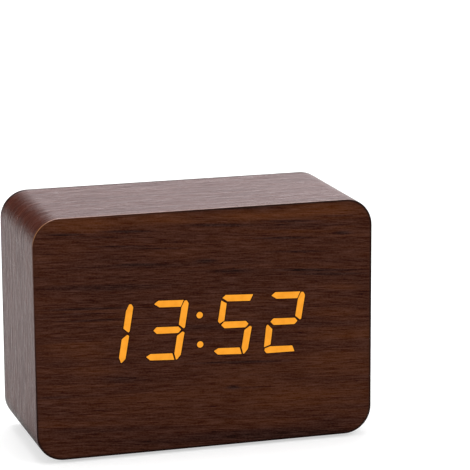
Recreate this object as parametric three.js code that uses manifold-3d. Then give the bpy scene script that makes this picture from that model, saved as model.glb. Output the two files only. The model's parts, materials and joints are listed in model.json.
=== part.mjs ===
// A wooden digital alarm clock, in millimetres.
// +X points right seen from the front, +Z up, and the lit face looks towards -Y.
// The origin is on the table under the middle of the clock.

import * as THREE from 'three';
import { mergeVertices } from 'three/addons/utils/BufferGeometryUtils.js';
import Module from 'manifold-3d';

const wasm = await Module();
wasm.setup();

// Driving dimensions of the clock
const clockWidth = 100;
const clockHeight = 70;
const clockDepth = 43;
const cornerRadius = 8;

// Wooden case and its films
const wrapThickness = 0.4;
const frontFilmThickness = 0.5;
const wrapSeam = 0.2;
const sideWall = 6.6;
const frontWall = 6;
const cavityCornerRadius = 8;
const rimWall = 3;

// Feet
const footHeight = 1;
const footRadius = 4;
const footInsetX = 14;
const footInsetY = 10.5;
const footEdge = 0.3;

// Display: one cell per segment behind the front film
const digitHeight = 17.5;
const digitWidth = 10.5;
const digitPitch = 15.5;
const middlePitch = 20;
const segmentThickness = 2.2;
const segmentGap = 0.35;
const digitSlant = THREE.MathUtils.degToRad(9.5);
const colonRadius = 1.05;
const colonSpacing = 8.7;
const displayShift = -1.8;
const displayRise = 0.35;
const displayMargin = 1.6;
const diffuserThickness = 0.4;
const moduleClearance = 0.15;
const lampSize = 1.2;
const lampHeight = 0.6;

// Circuit boards
const boardThickness = 1.6;
const boardClearance = 0.8;
const displayBoardHeight = 40;
const displayBoardCorner = 3;
const boardScrewInset = 3.5;

// Rear cover, recessed in the case
const coverThickness = 2;
const coverRecess = 1.5;
const coverClearance = 0.2;
const coverScrewInset = 3.8;
const counterboreDepth = 0.8;
const counterboreClearance = 0.3;

// Three cells of the small round size, side by side in a bay of the cover
const cellCount = 3;
const cellLength = 44.5;
const cellRadius = 5.25;
const cellNubRadius = 1.9;
const cellNubHeight = 0.9;
const cellEdge = 0.5;
const cellGap = 0.3;
const bayLedge = 1;
const bayWall = 1.2;
const bayFloor = 1.2;

// Battery contacts
const contactThickness = 0.4;
const contactWidth = 8.4;
const contactDimpleRadius = 1.6;
const contactDimple = 0.8;
const contactGap = 0.3;
const tagWidth = 2.6;
const tagReach = 2;
const springRoom = 4.3;
const springWire = 0.6;
const springTurns = 3;
const springWideRadius = 3.2;
const springNarrowRadius = 2.1;
const springEndGap = 0.3;

// Battery door, hooked on two tabs at its lower edge
const doorThickness = 1.6;
const doorClearance = 0.25;
const doorSeatGap = 0.15;
const doorTabWidth = 6;
const doorTabThickness = 1.2;
const doorTabReach = 1.6;
const doorTabRoot = 2.4;
const doorTabSpacing = 32;
const tabClearance = 0.25;
const latchWidth = 9;
const latchBump = 0.12;
const latchRib = 0.3;
const latchRibWidth = 0.8;
const latchRibPitch = 1.7;
const latchRibCount = 4;
const fingerNotchRadius = 5;
const fingerNotchReach = 2.2;
const fingerNotchDepth = 1.2;

// Push buttons and the switches behind them
const buttonProud = 0.9;
const buttonTravel = 0.5;
const capWidth = 7;
const capHeight = 4.4;
const capCornerRadius = 2.1;
const capFlange = 0.8;
const capFlangeThickness = 1;
const slidingClearance = 0.2;
const tactSize = 6;
const tactHeight = 3.5;
const plungerRadius = 1.75;
const plungerReach = 1.5;
const plungerDepth = 1.1;
const plungerClearance = 0.15;

// Slide switch for the sound control
const slideTravel = 2;
const slideBodyWidth = 8.6;
const slideBodyHeight = 3.8;
const slideBodyDepth = 3.6;
const slideFloor = 1.2;
const knobWidth = 2;
const knobHeight = 1.6;
const knobProud = 0.7;

// Power jack
const jackWidth = 7.4;
const jackHeight = 7;
const jackNoseRadius = 2.9;
const jackNoseInset = 0.6;
const jackBoreRadius = 1.9;
const jackBoreDepth = 6;
const jackPinRadius = 0.6;
const jackPinInset = 0.8;

// Posts and screws
const postRadius = 2.2;
const pilotClearance = 0.1;
const pilotOverdepth = 0.8;
const coverScrewRadius = 1.1;
const coverScrewHeadRadius = 2.1;
const coverScrewHeadHeight = 1.3;
const coverScrewLength = 8;
const boardScrewRadius = 0.9;
const boardScrewHeadRadius = 1.8;
const boardScrewHeadHeight = 1.1;
const boardScrewLength = 5.6;
const boardHoleClearance = 0.3;
const crossRecessWidth = 0.5;
const crossRecessDepth = 0.6;

// Sounder and microphone, each in a ring behind the cover
const ringWall = 0.8;
const sounderRadius = 4;
const sounderHeight = 3;
const sounderRingHeight = 2.4;
const soundSlotWidth = 0.9;
const soundSlotPitch = 1.8;
const soundSlotCount = 3;
const microphoneRadius = 2.6;
const microphoneHeight = 2.6;
const microphoneRingHeight = 2;
const microphoneHoleRadius = 0.7;

// Parts on the back of the display board
const chipLength = 18;
const chipWidth = 7.5;
const chipHeight = 2.2;
const chipLegCount = 10;
const chipLegPitch = 1.6;
const chipLegWidth = 0.6;
const chipLegReach = 1.3;
const chipLegThickness = 0.3;
const chipPlaceX = -18;
const chipPlaceZ = 9;
const crystalRadius = 1;
const crystalLength = 6;
const crystalPlaceX = -18;
const crystalPlaceZ = 1;
const capacitorRadius = 2.5;
const capacitorHeight = 5;
const capacitorPlaceX = -4;
const capacitorPlaceZ = -8;
const coinRadius = 10;
const coinThickness = 3.2;
const coinHolderWall = 1.2;
const coinHolderBase = 0.8;
const coinHolderRim = 2.4;
const coinNotchWidth = 8;
const coinInsetX = 20.2;
const coinPlaceZ = -5;

// Wiring
const ribbonWidth = 10;
const ribbonThickness = 0.9;
const ribbonSag = 4;
const connectorMargin = 1;
const connectorHeight = 3.6;
const connectorDepth = 4;
const displayConnectorInset = 4;
const leadRadius = 0.6;
const leadSides = 8;
const leadStep = 3;
const leadGap = 0.3;
const leadDrop = 2;
const leadPadInset = 6;

// How finely round shapes are cut, and how far a cut runs past what it cuts
const cornerSteps = 6;
const holeSteps = 8;
const fineSteps = 12;
const latheSides = 20;
const screwSides = 14;
const springSides = 5;
const springStepsPerTurn = 8;
const ribbonSteps = 14;
const overrun = 1;

// Places that follow from the sizes above
const faceY = -clockDepth / 2;
const rearY = clockDepth / 2;
const baseZ = footHeight;
const middleZ = baseZ + clockHeight / 2;
const caseFrontY = faceY + frontFilmThickness;
const wallInnerY = caseFrontY + frontWall;
const caseWidth = clockWidth - 2 * wrapThickness;
const caseHeight = clockHeight - 2 * wrapThickness;
const caseCornerRadius = cornerRadius - wrapThickness;
const rebateWidth = caseWidth - 2 * rimWall;
const rebateHeight = caseHeight - 2 * rimWall;
const rebateCornerRadius = caseCornerRadius - rimWall;
const cavityWidth = caseWidth - 2 * sideWall;
const cavityHeight = caseHeight - 2 * sideWall;
const cavityLowZ = middleZ - cavityHeight / 2;
const cavityHighZ = middleZ + cavityHeight / 2;

const displayZ = middleZ + displayRise;
const digitLean = digitHeight * Math.tan(digitSlant);
const digitsWidth = 2 * digitPitch + middlePitch + digitWidth + digitLean;
const moduleWidth = digitsWidth + 2 * displayMargin;
const moduleHeight = digitHeight + 2 * displayMargin;
const diffuserRearY = caseFrontY + diffuserThickness;
const displayBoardRearY = wallInnerY + boardThickness;
const displayBoardWidth = cavityWidth - 2 * boardClearance;
const boardScrewX = displayBoardWidth / 2 - boardScrewInset;
const boardScrewZ = displayBoardHeight / 2 - boardScrewInset;
const boardScrewTipY = displayBoardRearY - boardScrewLength;
const coinX = displayBoardWidth / 2 - coinInsetX;

const coverOuterY = rearY - coverRecess;
const coverInnerY = coverOuterY - coverThickness;
const coverWidth = rebateWidth - 2 * coverClearance;
const coverHeight = rebateHeight - 2 * coverClearance;
const coverCornerRadius = rebateCornerRadius - coverClearance;
const coverScrewX = rebateWidth / 2 - coverScrewInset;
const coverScrewZ = rebateHeight / 2 - coverScrewInset;
const coverScrewSeatY = coverOuterY - counterboreDepth;
const coverScrewTipY = coverScrewSeatY - coverScrewLength;

const bayLength = cellLength + 2 * contactThickness + contactDimple + springRoom;
const bayHeight = cellCount * 2 * cellRadius + (cellCount + 1) * cellGap;
const trayLength = bayLength + 2 * (bayLedge + bayWall);
const trayHeight = bayHeight + 2 * (bayLedge + bayWall);
const trayLowZ = cavityLowZ + boardClearance;
const trayHighZ = trayLowZ + trayHeight;
const trayZ = trayLowZ + trayHeight / 2;
const doorInnerY = coverOuterY - doorThickness;
const doorSeatY = doorInnerY - doorSeatGap;
const cellY = doorInnerY - cellGap - cellRadius;
const bayFloorY = cellY - cellRadius - cellGap;
const trayFrontY = bayFloorY - bayFloor;
const doorWidth = bayLength + 2 * (bayLedge - doorClearance);
const doorHeight = bayHeight + 2 * (bayLedge - doorClearance);
const doorLowZ = trayZ - doorHeight / 2;
const doorHighZ = trayZ + doorHeight / 2;

const capOuterY = coverOuterY + buttonProud;
const capInnerY = coverInnerY - slidingClearance - capFlangeThickness;
const tactRearY = capInnerY - plungerReach;
const keyBoardRearY = tactRearY - tactHeight;
const keyBoardFrontY = keyBoardRearY - boardThickness;
const keyBoardLowZ = trayHighZ + boardClearance;
const keyBoardHighZ = cavityHighZ - boardClearance;
const keyBoardHeight = keyBoardHighZ - keyBoardLowZ;
const keyBoardZ = (keyBoardLowZ + keyBoardHighZ) / 2;
const keyBoardWidth = cavityWidth - 2 * cavityCornerRadius - 2 * boardClearance;
const capFlangeWidth = capWidth + 2 * capFlange;

// The row on the rear board, from +X to -X, spaced evenly between its two posts
const rowWidths = [
  2 * postRadius,
  capFlangeWidth,
  capFlangeWidth,
  capFlangeWidth,
  slideBodyWidth,
  jackWidth,
  2 * postRadius,
];
const rowFilled = rowWidths.reduce((sum, width) => sum + width);
const rowGap = (keyBoardWidth - rowFilled) / rowWidths.length;
const rowPlaces = rowWidths.map((width, index) => {
  const before = rowWidths.slice(0, index).reduce((sum, other) => sum + other, 0);
  return keyBoardWidth / 2 - rowGap / 2 - before - index * rowGap - width / 2;
});
const [firstPostX, setX, upX, downX, slideX, jackX, secondPostX] = rowPlaces;

// Sounder and microphone stand midway between the tray and the side walls
const sideBayX = (trayLength / 2 + cavityWidth / 2) / 2;
const sounderZ = trayZ;
const microphoneZ = trayZ;

// Solids and shapes

// A closed mesh as a solid that can be joined and cut
function toSolid(geometry) {
  geometry.deleteAttribute('normal');
  geometry.deleteAttribute('uv');
  const merged = mergeVertices(geometry);
  const corners = merged.index.array;
  const kept = [];
  for (let i = 0; i < corners.length; i += 3) {
    const [a, b, c] = corners.slice(i, i + 3);
    if (a !== b && b !== c && c !== a) kept.push(a, b, c);
  }
  return new wasm.Manifold(new wasm.Mesh({
    numProp: 3,
    vertProperties: new Float32Array(merged.attributes.position.array),
    triVerts: new Uint32Array(kept),
  }));
}

// A solid as a geometry that a mesh can show
function toGeometry(solid) {
  const mesh = solid.getMesh();
  const geometry = new THREE.BufferGeometry();
  geometry.setAttribute('position', new THREE.BufferAttribute(mesh.vertProperties, 3));
  geometry.setIndex(new THREE.BufferAttribute(mesh.triVerts, 1));
  return geometry;
}

// The two ends of a length, given its middle
const around = (middle, length) => [middle - length / 2, middle + length / 2];

// A box between two ends along each axis
function block([left, right], [front, rear], [low, high]) {
  const place = new THREE.Matrix4().set(
    right - left, 0, 0, (left + right) / 2,
    0, rear - front, 0, (front + rear) / 2,
    0, 0, high - low, (low + high) / 2,
    0, 0, 0, 1,
  );
  return toSolid(new THREE.BoxGeometry(1, 1, 1).applyMatrix4(place));
}

function unitExtrusion(shape, steps) {
  return new THREE.ExtrudeGeometry(shape, { depth: 1, bevelEnabled: false, curveSegments: steps });
}

// A shape drawn in X and Z, carried from front to rear
function slab(shape, [front, rear], steps = holeSteps) {
  const place = new THREE.Matrix4().set(
    1, 0, 0, 0,
    0, 0, front - rear, rear,
    0, 1, 0, 0,
    0, 0, 0, 1,
  );
  return toSolid(unitExtrusion(shape, steps).applyMatrix4(place));
}

// A shape drawn in Y and Z, carried from left to right
function rail(shape, [left, right], steps = holeSteps) {
  const place = new THREE.Matrix4().set(
    0, 0, right - left, left,
    1, 0, 0, 0,
    0, 1, 0, 0,
    0, 0, 0, 1,
  );
  return toSolid(unitExtrusion(shape, steps).applyMatrix4(place));
}

// A profile of radius and height turned about Y
function turned(profile, sides = latheSides) {
  const points = profile.map(([radius, height]) => new THREE.Vector2(radius, height));
  return toSolid(new THREE.LatheGeometry(points, sides));
}

function circle(radius, x = 0, y = 0) {
  return new THREE.Shape().absarc(x, y, radius, 0, 2 * Math.PI);
}

function roundedRectangle(width, height, radius, x = 0, y = 0) {
  const reachX = width / 2 - radius;
  const reachY = height / 2 - radius;
  return new THREE.Shape()
    .absarc(x + reachX, y + reachY, radius, 0, Math.PI / 2)
    .absarc(x - reachX, y + reachY, radius, Math.PI / 2, Math.PI)
    .absarc(x - reachX, y - reachY, radius, Math.PI, 1.5 * Math.PI)
    .absarc(x + reachX, y - reachY, radius, 1.5 * Math.PI, 2 * Math.PI)
    .closePath();
}

function polygon(points) {
  return new THREE.Shape(points.map(([x, y]) => new THREE.Vector2(x, y)));
}

// A round tube along a curve, with flat ends
function tube(curve, radius, sides, steps) {
  const section = polygon(Array.from({ length: sides }, (_, index) => {
    const angle = 2 * Math.PI * index / sides;
    return [radius * Math.cos(angle), radius * Math.sin(angle)];
  }));
  return toSolid(new THREE.ExtrudeGeometry(section, { steps, extrudePath: curve, bevelEnabled: false }));
}

// Signs of the four corners, as seen from the front
const cornerSigns = [[-1, 1], [1, 1], [-1, -1], [1, -1]];

// Materials
const paint = (color, roughness, metalness = 0) => (
  new THREE.MeshStandardMaterial({ color, roughness, metalness, flatShading: true })
);
const walnutFilm = paint('#4a2b20', 0.5);
const rawBoard = paint('#9a774f', 0.9);
const blackPlastic = paint('#1a1a1b', 0.55);
const whitePlastic = paint('#e8e6df', 0.5);
const litOrange = paint('#ffa42d', 0.4);
const greenBoard = paint('#1f5a38', 0.45);
const blackBoard = paint('#15181a', 0.45);
const steel = paint('#c4c6c8', 0.3, 1);
const darkSteel = paint('#3c3d40', 0.4, 1);
const blackRubber = paint('#202020', 0.85);
const blackResin = paint('#111112', 0.5);
const cellSleeve = paint('#2e5f3c', 0.35);
const redInsulation = paint('#b01e1a', 0.5);
const blackInsulation = paint('#141414', 0.5);
const greyInsulation = paint('#8f9296', 0.55);

const clock = new THREE.Group();
clock.name = 'wooden_alarm_clock';

function add(name, solid, material) {
  const mesh = new THREE.Mesh(toGeometry(solid), material);
  mesh.name = name;
  clock.add(mesh);
}

// The space behind the cover that the power jack needs, wherever the wall or the tray comes near
function jackRoom() {
  const x = around(jackX, jackWidth + 2 * slidingClearance);
  return block(x, [keyBoardRearY, coverInnerY], around(keyBoardZ, jackHeight + 2 * slidingClearance));
}

// Wooden case

function caseBody() {
  const outer = roundedRectangle(caseWidth, caseHeight, caseCornerRadius, 0, middleZ);
  const cavity = roundedRectangle(cavityWidth, cavityHeight, cavityCornerRadius, 0, middleZ);
  const rebate = roundedRectangle(rebateWidth, rebateHeight, rebateCornerRadius, 0, middleZ);
  const windowX = around(displayShift, moduleWidth + 2 * moduleClearance);
  const windowZ = around(displayZ, moduleHeight + 2 * moduleClearance);
  let body = slab(outer, [caseFrontY, rearY], cornerSteps)
    .subtract(slab(cavity, [wallInnerY, rearY + overrun], cornerSteps))
    .subtract(slab(rebate, [coverInnerY, rearY + overrun], cornerSteps))
    .subtract(block(windowX, [caseFrontY - overrun, wallInnerY + overrun], windowZ))
    .subtract(jackRoom());
  const coverPilot = coverScrewRadius + pilotClearance;
  const coverPilotY = [coverScrewTipY - pilotOverdepth, coverInnerY + overrun];
  const boardPilot = boardScrewRadius + pilotClearance;
  const boardPilotY = [boardScrewTipY - pilotClearance, wallInnerY + overrun];
  for (const [signX, signZ] of cornerSigns) {
    const coverHole = circle(coverPilot, signX * coverScrewX, middleZ + signZ * coverScrewZ);
    const boardHole = circle(boardPilot, signX * boardScrewX, displayZ + signZ * boardScrewZ);
    body = body
      .subtract(slab(coverHole, coverPilotY))
      .subtract(slab(boardHole, boardPilotY));
  }
  return body;
}

// The film wrapped round the four sides, its ends meeting under the clock
function wrapFilm() {
  const outer = roundedRectangle(clockWidth, clockHeight, cornerRadius, 0, middleZ);
  const inner = roundedRectangle(caseWidth, caseHeight, caseCornerRadius, 0, middleZ);
  const seam = block(
    around(0, wrapSeam),
    [faceY, rearY + overrun],
    [baseZ - overrun, baseZ + wrapThickness + overrun],
  );
  return slab(outer, [caseFrontY, rearY], cornerSteps)
    .subtract(slab(inner, [caseFrontY - overrun, rearY + overrun], cornerSteps))
    .subtract(seam);
}

function frontFilm() {
  const outline = roundedRectangle(clockWidth, clockHeight, cornerRadius, 0, middleZ);
  return slab(outline, [faceY, caseFrontY], cornerSteps);
}

function foot(x, y) {
  const profile = [
    [0, 0],
    [footRadius - footEdge, 0],
    [footRadius, footEdge],
    [footRadius, footHeight],
    [0, footHeight],
  ];
  return turned(profile).rotate([90, 0, 0]).translate([x, y, 0]);
}

function addCase() {
  add('case_body', caseBody(), rawBoard);
  add('wrap_film', wrapFilm(), walnutFilm);
  add('front_film', frontFilm(), walnutFilm);
  const names = ['foot_rear_left', 'foot_rear_right', 'foot_front_left', 'foot_front_right'];
  cornerSigns.forEach(([signX, signY], index) => {
    const x = signX * (clockWidth / 2 - footInsetX);
    const y = signY * (clockDepth / 2 - footInsetY);
    add(names[index], foot(x, y), blackRubber);
  });
}

// Display

// Middles of the four digits along X
const digitPlaces = [
  displayShift - middlePitch / 2 - digitPitch,
  displayShift - middlePitch / 2,
  displayShift + middlePitch / 2,
  displayShift + middlePitch / 2 + digitPitch,
];

const lean = (z) => (z - displayZ) * Math.tan(digitSlant);

// Each segment of one digit as its middle and whether it lies level
function segmentPlaces(digitX) {
  const reachX = (digitWidth - segmentThickness) / 2;
  const reachZ = (digitHeight - segmentThickness) / 2;
  const level = [reachZ, 0, -reachZ].map((z) => ({ x: digitX, z: displayZ + z, level: true }));
  const upright = [-1, 1].flatMap((signX) => [-1, 1].map((signZ) => (
    { x: digitX + signX * reachX, z: displayZ + signZ * reachZ / 2, level: false }
  )));
  return [...level, ...upright];
}

// A pointed bar, leaning with the digit
function segmentShape(place) {
  const levelLength = digitWidth - segmentThickness - segmentGap;
  const uprightLength = (digitHeight - segmentThickness) / 2 - segmentGap;
  const tip = (place.level ? levelLength : uprightLength) / 2;
  const side = segmentThickness / 2;
  const outline = [
    [-tip, 0],
    [side - tip, -side],
    [tip - side, -side],
    [tip, 0],
    [tip - side, side],
    [side - tip, side],
  ];
  const standing = place.level ? outline : outline.map(([along, across]) => [-across, along]);
  return polygon(standing.map(([x, z]) => [place.x + x + lean(place.z + z), place.z + z]));
}

const colonPlaces = [-1, 1].map((sign) => ({ x: displayShift, z: displayZ + sign * colonSpacing / 2 }));
const allSegments = digitPlaces.flatMap(segmentPlaces);
const lampPlaces = [...allSegments.map(({ x, z }) => ({ x: x + lean(z), z })), ...colonPlaces];

function displayReflector() {
  const cut = [diffuserRearY - overrun, wallInnerY + overrun];
  let reflector = block(
    around(displayShift, moduleWidth),
    [diffuserRearY, wallInnerY],
    around(displayZ, moduleHeight),
  );
  for (const place of allSegments) {
    reflector = reflector.subtract(slab(segmentShape(place), cut));
  }
  for (const { x, z } of colonPlaces) {
    reflector = reflector.subtract(slab(circle(colonRadius, x, z), cut));
  }
  return reflector;
}

function displayDiffuser() {
  return block(
    around(displayShift, moduleWidth),
    [caseFrontY, diffuserRearY],
    around(displayZ, moduleHeight),
  );
}

// The board with one lamp in front for each segment and dot
function displayBoard() {
  const outline = roundedRectangle(displayBoardWidth, displayBoardHeight, displayBoardCorner, 0, displayZ);
  let board = slab(outline, [wallInnerY, displayBoardRearY], cornerSteps);
  const hole = boardScrewRadius + boardHoleClearance;
  for (const [signX, signZ] of cornerSigns) {
    const cut = circle(hole, signX * boardScrewX, displayZ + signZ * boardScrewZ);
    board = board.subtract(slab(cut, [wallInnerY - overrun, displayBoardRearY + overrun]));
  }
  const lampY = [wallInnerY - lampHeight, displayBoardRearY];
  for (const { x, z } of lampPlaces) {
    board = board.add(block(around(x, lampSize), lampY, around(z, lampSize)));
  }
  return board;
}

// A pan head screw with a crossed recess, its head towards +Y from the seat at zero
function screw(radius, length, headRadius, headHeight) {
  const crownShare = 0.6;
  const tipShare = 0.5;
  const profile = [
    [0, -length],
    [radius * tipShare, -length],
    [radius, radius - length],
    [radius, 0],
    [headRadius, 0],
    [headRadius, headHeight * crownShare],
    [headRadius * crownShare, headHeight],
    [0, headHeight],
  ];
  const recessY = [headHeight - crossRecessDepth, headHeight + overrun];
  const long = around(0, headRadius);
  const short = around(0, crossRecessWidth);
  return turned(profile, screwSides)
    .subtract(block(long, recessY, short))
    .subtract(block(short, recessY, long));
}

function coverScrew() {
  return screw(coverScrewRadius, coverScrewLength, coverScrewHeadRadius, coverScrewHeadHeight);
}

function boardScrew() {
  return screw(boardScrewRadius, boardScrewLength, boardScrewHeadRadius, boardScrewHeadHeight);
}

function clockChip() {
  const legsWidth = chipWidth + 2 * chipLegReach;
  const y = displayBoardRearY;
  const x = chipPlaceX;
  const z = displayZ + chipPlaceZ;
  const middleY = y + chipHeight / 2;
  let chip = block(around(x, chipLength), [y + chipLegThickness, y + chipHeight], around(z, chipWidth));
  for (let leg = 0; leg < chipLegCount; leg += 1) {
    const legX = around(x + (leg - (chipLegCount - 1) / 2) * chipLegPitch, chipLegWidth);
    for (const sign of [-1, 1]) {
      const outerZ = z + sign * legsWidth / 2;
      const rootZ = z + sign * (chipWidth / 2 - chipLegThickness);
      const bendZ = z + sign * (chipWidth / 2 + chipLegThickness);
      const span = (from, to) => [Math.min(from, to), Math.max(from, to)];
      chip = chip
        .add(block(legX, around(middleY, chipLegThickness), span(rootZ, bendZ + sign * chipLegThickness)))
        .add(block(legX, [y, middleY], span(bendZ, bendZ + sign * chipLegThickness)))
        .add(block(legX, [y, y + chipLegThickness], span(bendZ, outerZ)));
    }
  }
  return chip;
}

function crystal() {
  const y = displayBoardRearY + crystalRadius + pilotClearance;
  return rail(
    circle(crystalRadius, y, displayZ + crystalPlaceZ),
    around(crystalPlaceX, crystalLength),
  );
}

function capacitor() {
  const can = circle(capacitorRadius, capacitorPlaceX, displayZ + capacitorPlaceZ);
  return slab(can, [displayBoardRearY, displayBoardRearY + capacitorHeight]);
}

function coinHolder() {
  const z = displayZ + coinPlaceZ;
  const inner = coinRadius + slidingClearance;
  const baseY = displayBoardRearY + coinHolderBase;
  const rimY = baseY + coinHolderRim;
  const notch = block(
    around(coinX, coinNotchWidth),
    [baseY, rimY + overrun],
    [z + inner / 2, z + inner + coinHolderWall + overrun],
  );
  return slab(circle(inner + coinHolderWall, coinX, z), [displayBoardRearY, rimY], fineSteps)
    .subtract(slab(circle(inner, coinX, z), [baseY, rimY + overrun], fineSteps))
    .subtract(notch);
}

function coinCell() {
  const coin = circle(coinRadius, coinX, displayZ + coinPlaceZ);
  const seatY = displayBoardRearY + coinHolderBase;
  return slab(coin, [seatY, seatY + coinThickness], fineSteps);
}

function addDisplay() {
  add('display_diffuser', displayDiffuser(), litOrange);
  add('display_reflector', displayReflector(), whitePlastic);
  add('display_board', displayBoard(), blackBoard);
  cornerSigns.forEach(([signX, signZ], index) => {
    const place = [signX * boardScrewX, displayBoardRearY, displayZ + signZ * boardScrewZ];
    add(`display_screw_${index + 1}`, boardScrew().translate(place), steel);
  });
  add('clock_chip', clockChip(), blackResin);
  add('clock_crystal', crystal(), steel);
  add('capacitor', capacitor(), darkSteel);
  add('coin_cell_holder', coinHolder(), blackPlastic);
  add('coin_cell', coinCell(), steel);
}

// Rear cover with its battery bay

const cellPlacesZ = Array.from({ length: cellCount }, (_, index) => (
  trayZ + (index - (cellCount - 1) / 2) * (2 * cellRadius + cellGap)
));

// The plate and the tray, hollowed for the cells and stepped for the door
function coverShell() {
  const plate = roundedRectangle(coverWidth, coverHeight, coverCornerRadius, 0, middleZ);
  const bayX = around(0, bayLength);
  const bayZ = around(trayZ, bayHeight);
  return slab(plate, [coverInnerY, coverOuterY], cornerSteps)
    .add(block(around(0, trayLength), [trayFrontY, coverInnerY + coverClearance], around(trayZ, trayHeight)))
    .subtract(block(bayX, [bayFloorY, coverOuterY + overrun], bayZ))
    .subtract(block(
      around(0, bayLength + 2 * bayLedge),
      [doorSeatY, coverOuterY + overrun],
      around(trayZ, bayHeight + 2 * bayLedge),
    ));
}

// Room under the plate's edge in which the door's tabs hook and turn
function doorTabPocket(sign) {
  const swing = Math.hypot(doorTabReach, coverThickness + tabClearance + doorTabThickness);
  const x = around(sign * doorTabSpacing / 2, doorTabWidth + 2 * tabClearance);
  const highZ = doorLowZ + doorTabRoot;
  const underPlate = block(
    x,
    [coverOuterY - swing - tabClearance, coverInnerY],
    [doorLowZ - doorTabReach - tabClearance, highZ],
  );
  const throughLedge = block(x, [coverInnerY - tabClearance, coverOuterY], [doorLowZ - doorClearance, highZ]);
  return underPlate.add(throughLedge);
}

function fingerNotch() {
  const z = trayZ + bayHeight / 2 + bayLedge + fingerNotchReach - fingerNotchRadius;
  return slab(circle(fingerNotchRadius, 0, z), [coverOuterY - fingerNotchDepth, coverOuterY + overrun]);
}

// A standing ring that holds a round piece against the plate
function holderRing(radius, height, x, z) {
  const inner = radius + slidingClearance;
  const y = [coverInnerY - height, coverInnerY + overrun];
  return slab(circle(inner + ringWall, x, z), y)
    .subtract(slab(circle(inner, x, z), [y[0] - overrun, coverInnerY]));
}

function tagSlot(signX, z) {
  const x = around(signX * (bayLength / 2 - contactThickness / 2), contactThickness + 2 * contactGap);
  return block(x, [trayFrontY - overrun, bayFloorY + overrun], around(z, tagWidth + 2 * contactGap));
}

function coverOpenings() {
  const through = [coverInnerY - overrun, coverOuterY + overrun];
  const capHole = (x) => slab(roundedRectangle(
    capWidth + 2 * slidingClearance,
    capHeight + 2 * slidingClearance,
    capCornerRadius + slidingClearance,
    x,
    keyBoardZ,
  ), through, cornerSteps);
  const knobSlot = block(
    around(slideX, knobWidth + slideTravel + 2 * slidingClearance),
    through,
    around(keyBoardZ, knobHeight + 2 * slidingClearance),
  );
  const jackHole = slab(circle(jackNoseRadius + slidingClearance, jackX, keyBoardZ), through);
  const soundHole = slab(circle(microphoneHoleRadius, sideBayX, microphoneZ), through);
  let openings = knobSlot.add(jackHole).add(soundHole);
  for (const x of [setX, upX, downX]) {
    openings = openings.add(capHole(x));
  }
  for (let slot = 0; slot < soundSlotCount; slot += 1) {
    const slotZ = sounderZ + (slot - (soundSlotCount - 1) / 2) * soundSlotPitch;
    openings = openings.add(block(around(-sideBayX, sounderRadius), through, around(slotZ, soundSlotWidth)));
  }
  const screwHole = coverScrewRadius + boardHoleClearance;
  const headHole = coverScrewHeadRadius + counterboreClearance;
  for (const [signX, signZ] of cornerSigns) {
    const x = signX * coverScrewX;
    const z = middleZ + signZ * coverScrewZ;
    openings = openings
      .add(slab(circle(screwHole, x, z), through))
      .add(slab(circle(headHole, x, z), [coverScrewSeatY, coverOuterY + overrun]));
  }
  return openings;
}

function keyBoardPost(x) {
  const pilot = circle(boardScrewRadius + pilotClearance, x, keyBoardZ);
  const pilotEnd = keyBoardFrontY + boardScrewLength + pilotClearance;
  return slab(circle(postRadius, x, keyBoardZ), [keyBoardRearY, coverInnerY + overrun])
    .subtract(slab(pilot, [keyBoardRearY - overrun, pilotEnd]));
}

function rearCover() {
  return coverShell()
    .add(holderRing(sounderRadius, sounderRingHeight, -sideBayX, sounderZ))
    .add(holderRing(microphoneRadius, microphoneRingHeight, sideBayX, microphoneZ))
    .add(keyBoardPost(firstPostX))
    .add(keyBoardPost(secondPostX))
    .subtract(doorTabPocket(-1))
    .subtract(doorTabPocket(1))
    .subtract(fingerNotch())
    .subtract(jackRoom())
    .subtract(tagSlot(-1, cellPlacesZ[0]))
    .subtract(tagSlot(1, cellPlacesZ[cellCount - 1]))
    .subtract(coverOpenings());
}

function batteryDoor() {
  let door = block(around(0, doorWidth), [doorInnerY, coverOuterY], [doorLowZ, doorHighZ]);
  const tabRearY = coverInnerY - tabClearance;
  for (const sign of [-1, 1]) {
    const x = around(sign * doorTabSpacing / 2, doorTabWidth);
    const tabZ = [doorLowZ - doorTabReach, doorLowZ + doorTabRoot - tabClearance];
    const webZ = [doorLowZ + tabClearance, doorLowZ + doorTabRoot - tabClearance];
    door = door
      .add(block(x, [tabRearY - doorTabThickness, tabRearY], tabZ))
      .add(block(x, [tabRearY - doorTabThickness, coverOuterY], webZ));
  }
  const bumpY = [doorInnerY, doorInnerY + doorThickness / 2];
  door = door.add(block(around(0, latchWidth), bumpY, [doorHighZ - doorClearance, doorHighZ + latchBump]));
  for (let rib = 0; rib < latchRibCount; rib += 1) {
    const z = doorHighZ - (rib + 1) * latchRibPitch;
    door = door.add(block(
      around(0, latchWidth),
      [doorInnerY, coverOuterY + latchRib],
      around(z, latchRibWidth),
    ));
  }
  return door;
}

// A round cell along X, its raised end towards the sign
function roundCell(signX, z) {
  const shoulder = cellLength - cellNubHeight;
  const profile = [
    [0, 0],
    [cellRadius - cellEdge, 0],
    [cellRadius, cellEdge],
    [cellRadius, shoulder - cellEdge],
    [cellRadius - cellEdge, shoulder],
    [cellNubRadius, shoulder],
    [cellNubRadius, cellLength],
    [0, cellLength],
  ];
  const raisedEnd = bayLength / 2 - contactThickness - contactDimple;
  return turned(profile)
    .rotate([0, 0, -90])
    .translate([raisedEnd - cellLength, 0, 0])
    .rotate([0, 0, signX > 0 ? 0 : 180])
    .translate([0, cellY, z]);
}

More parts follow.
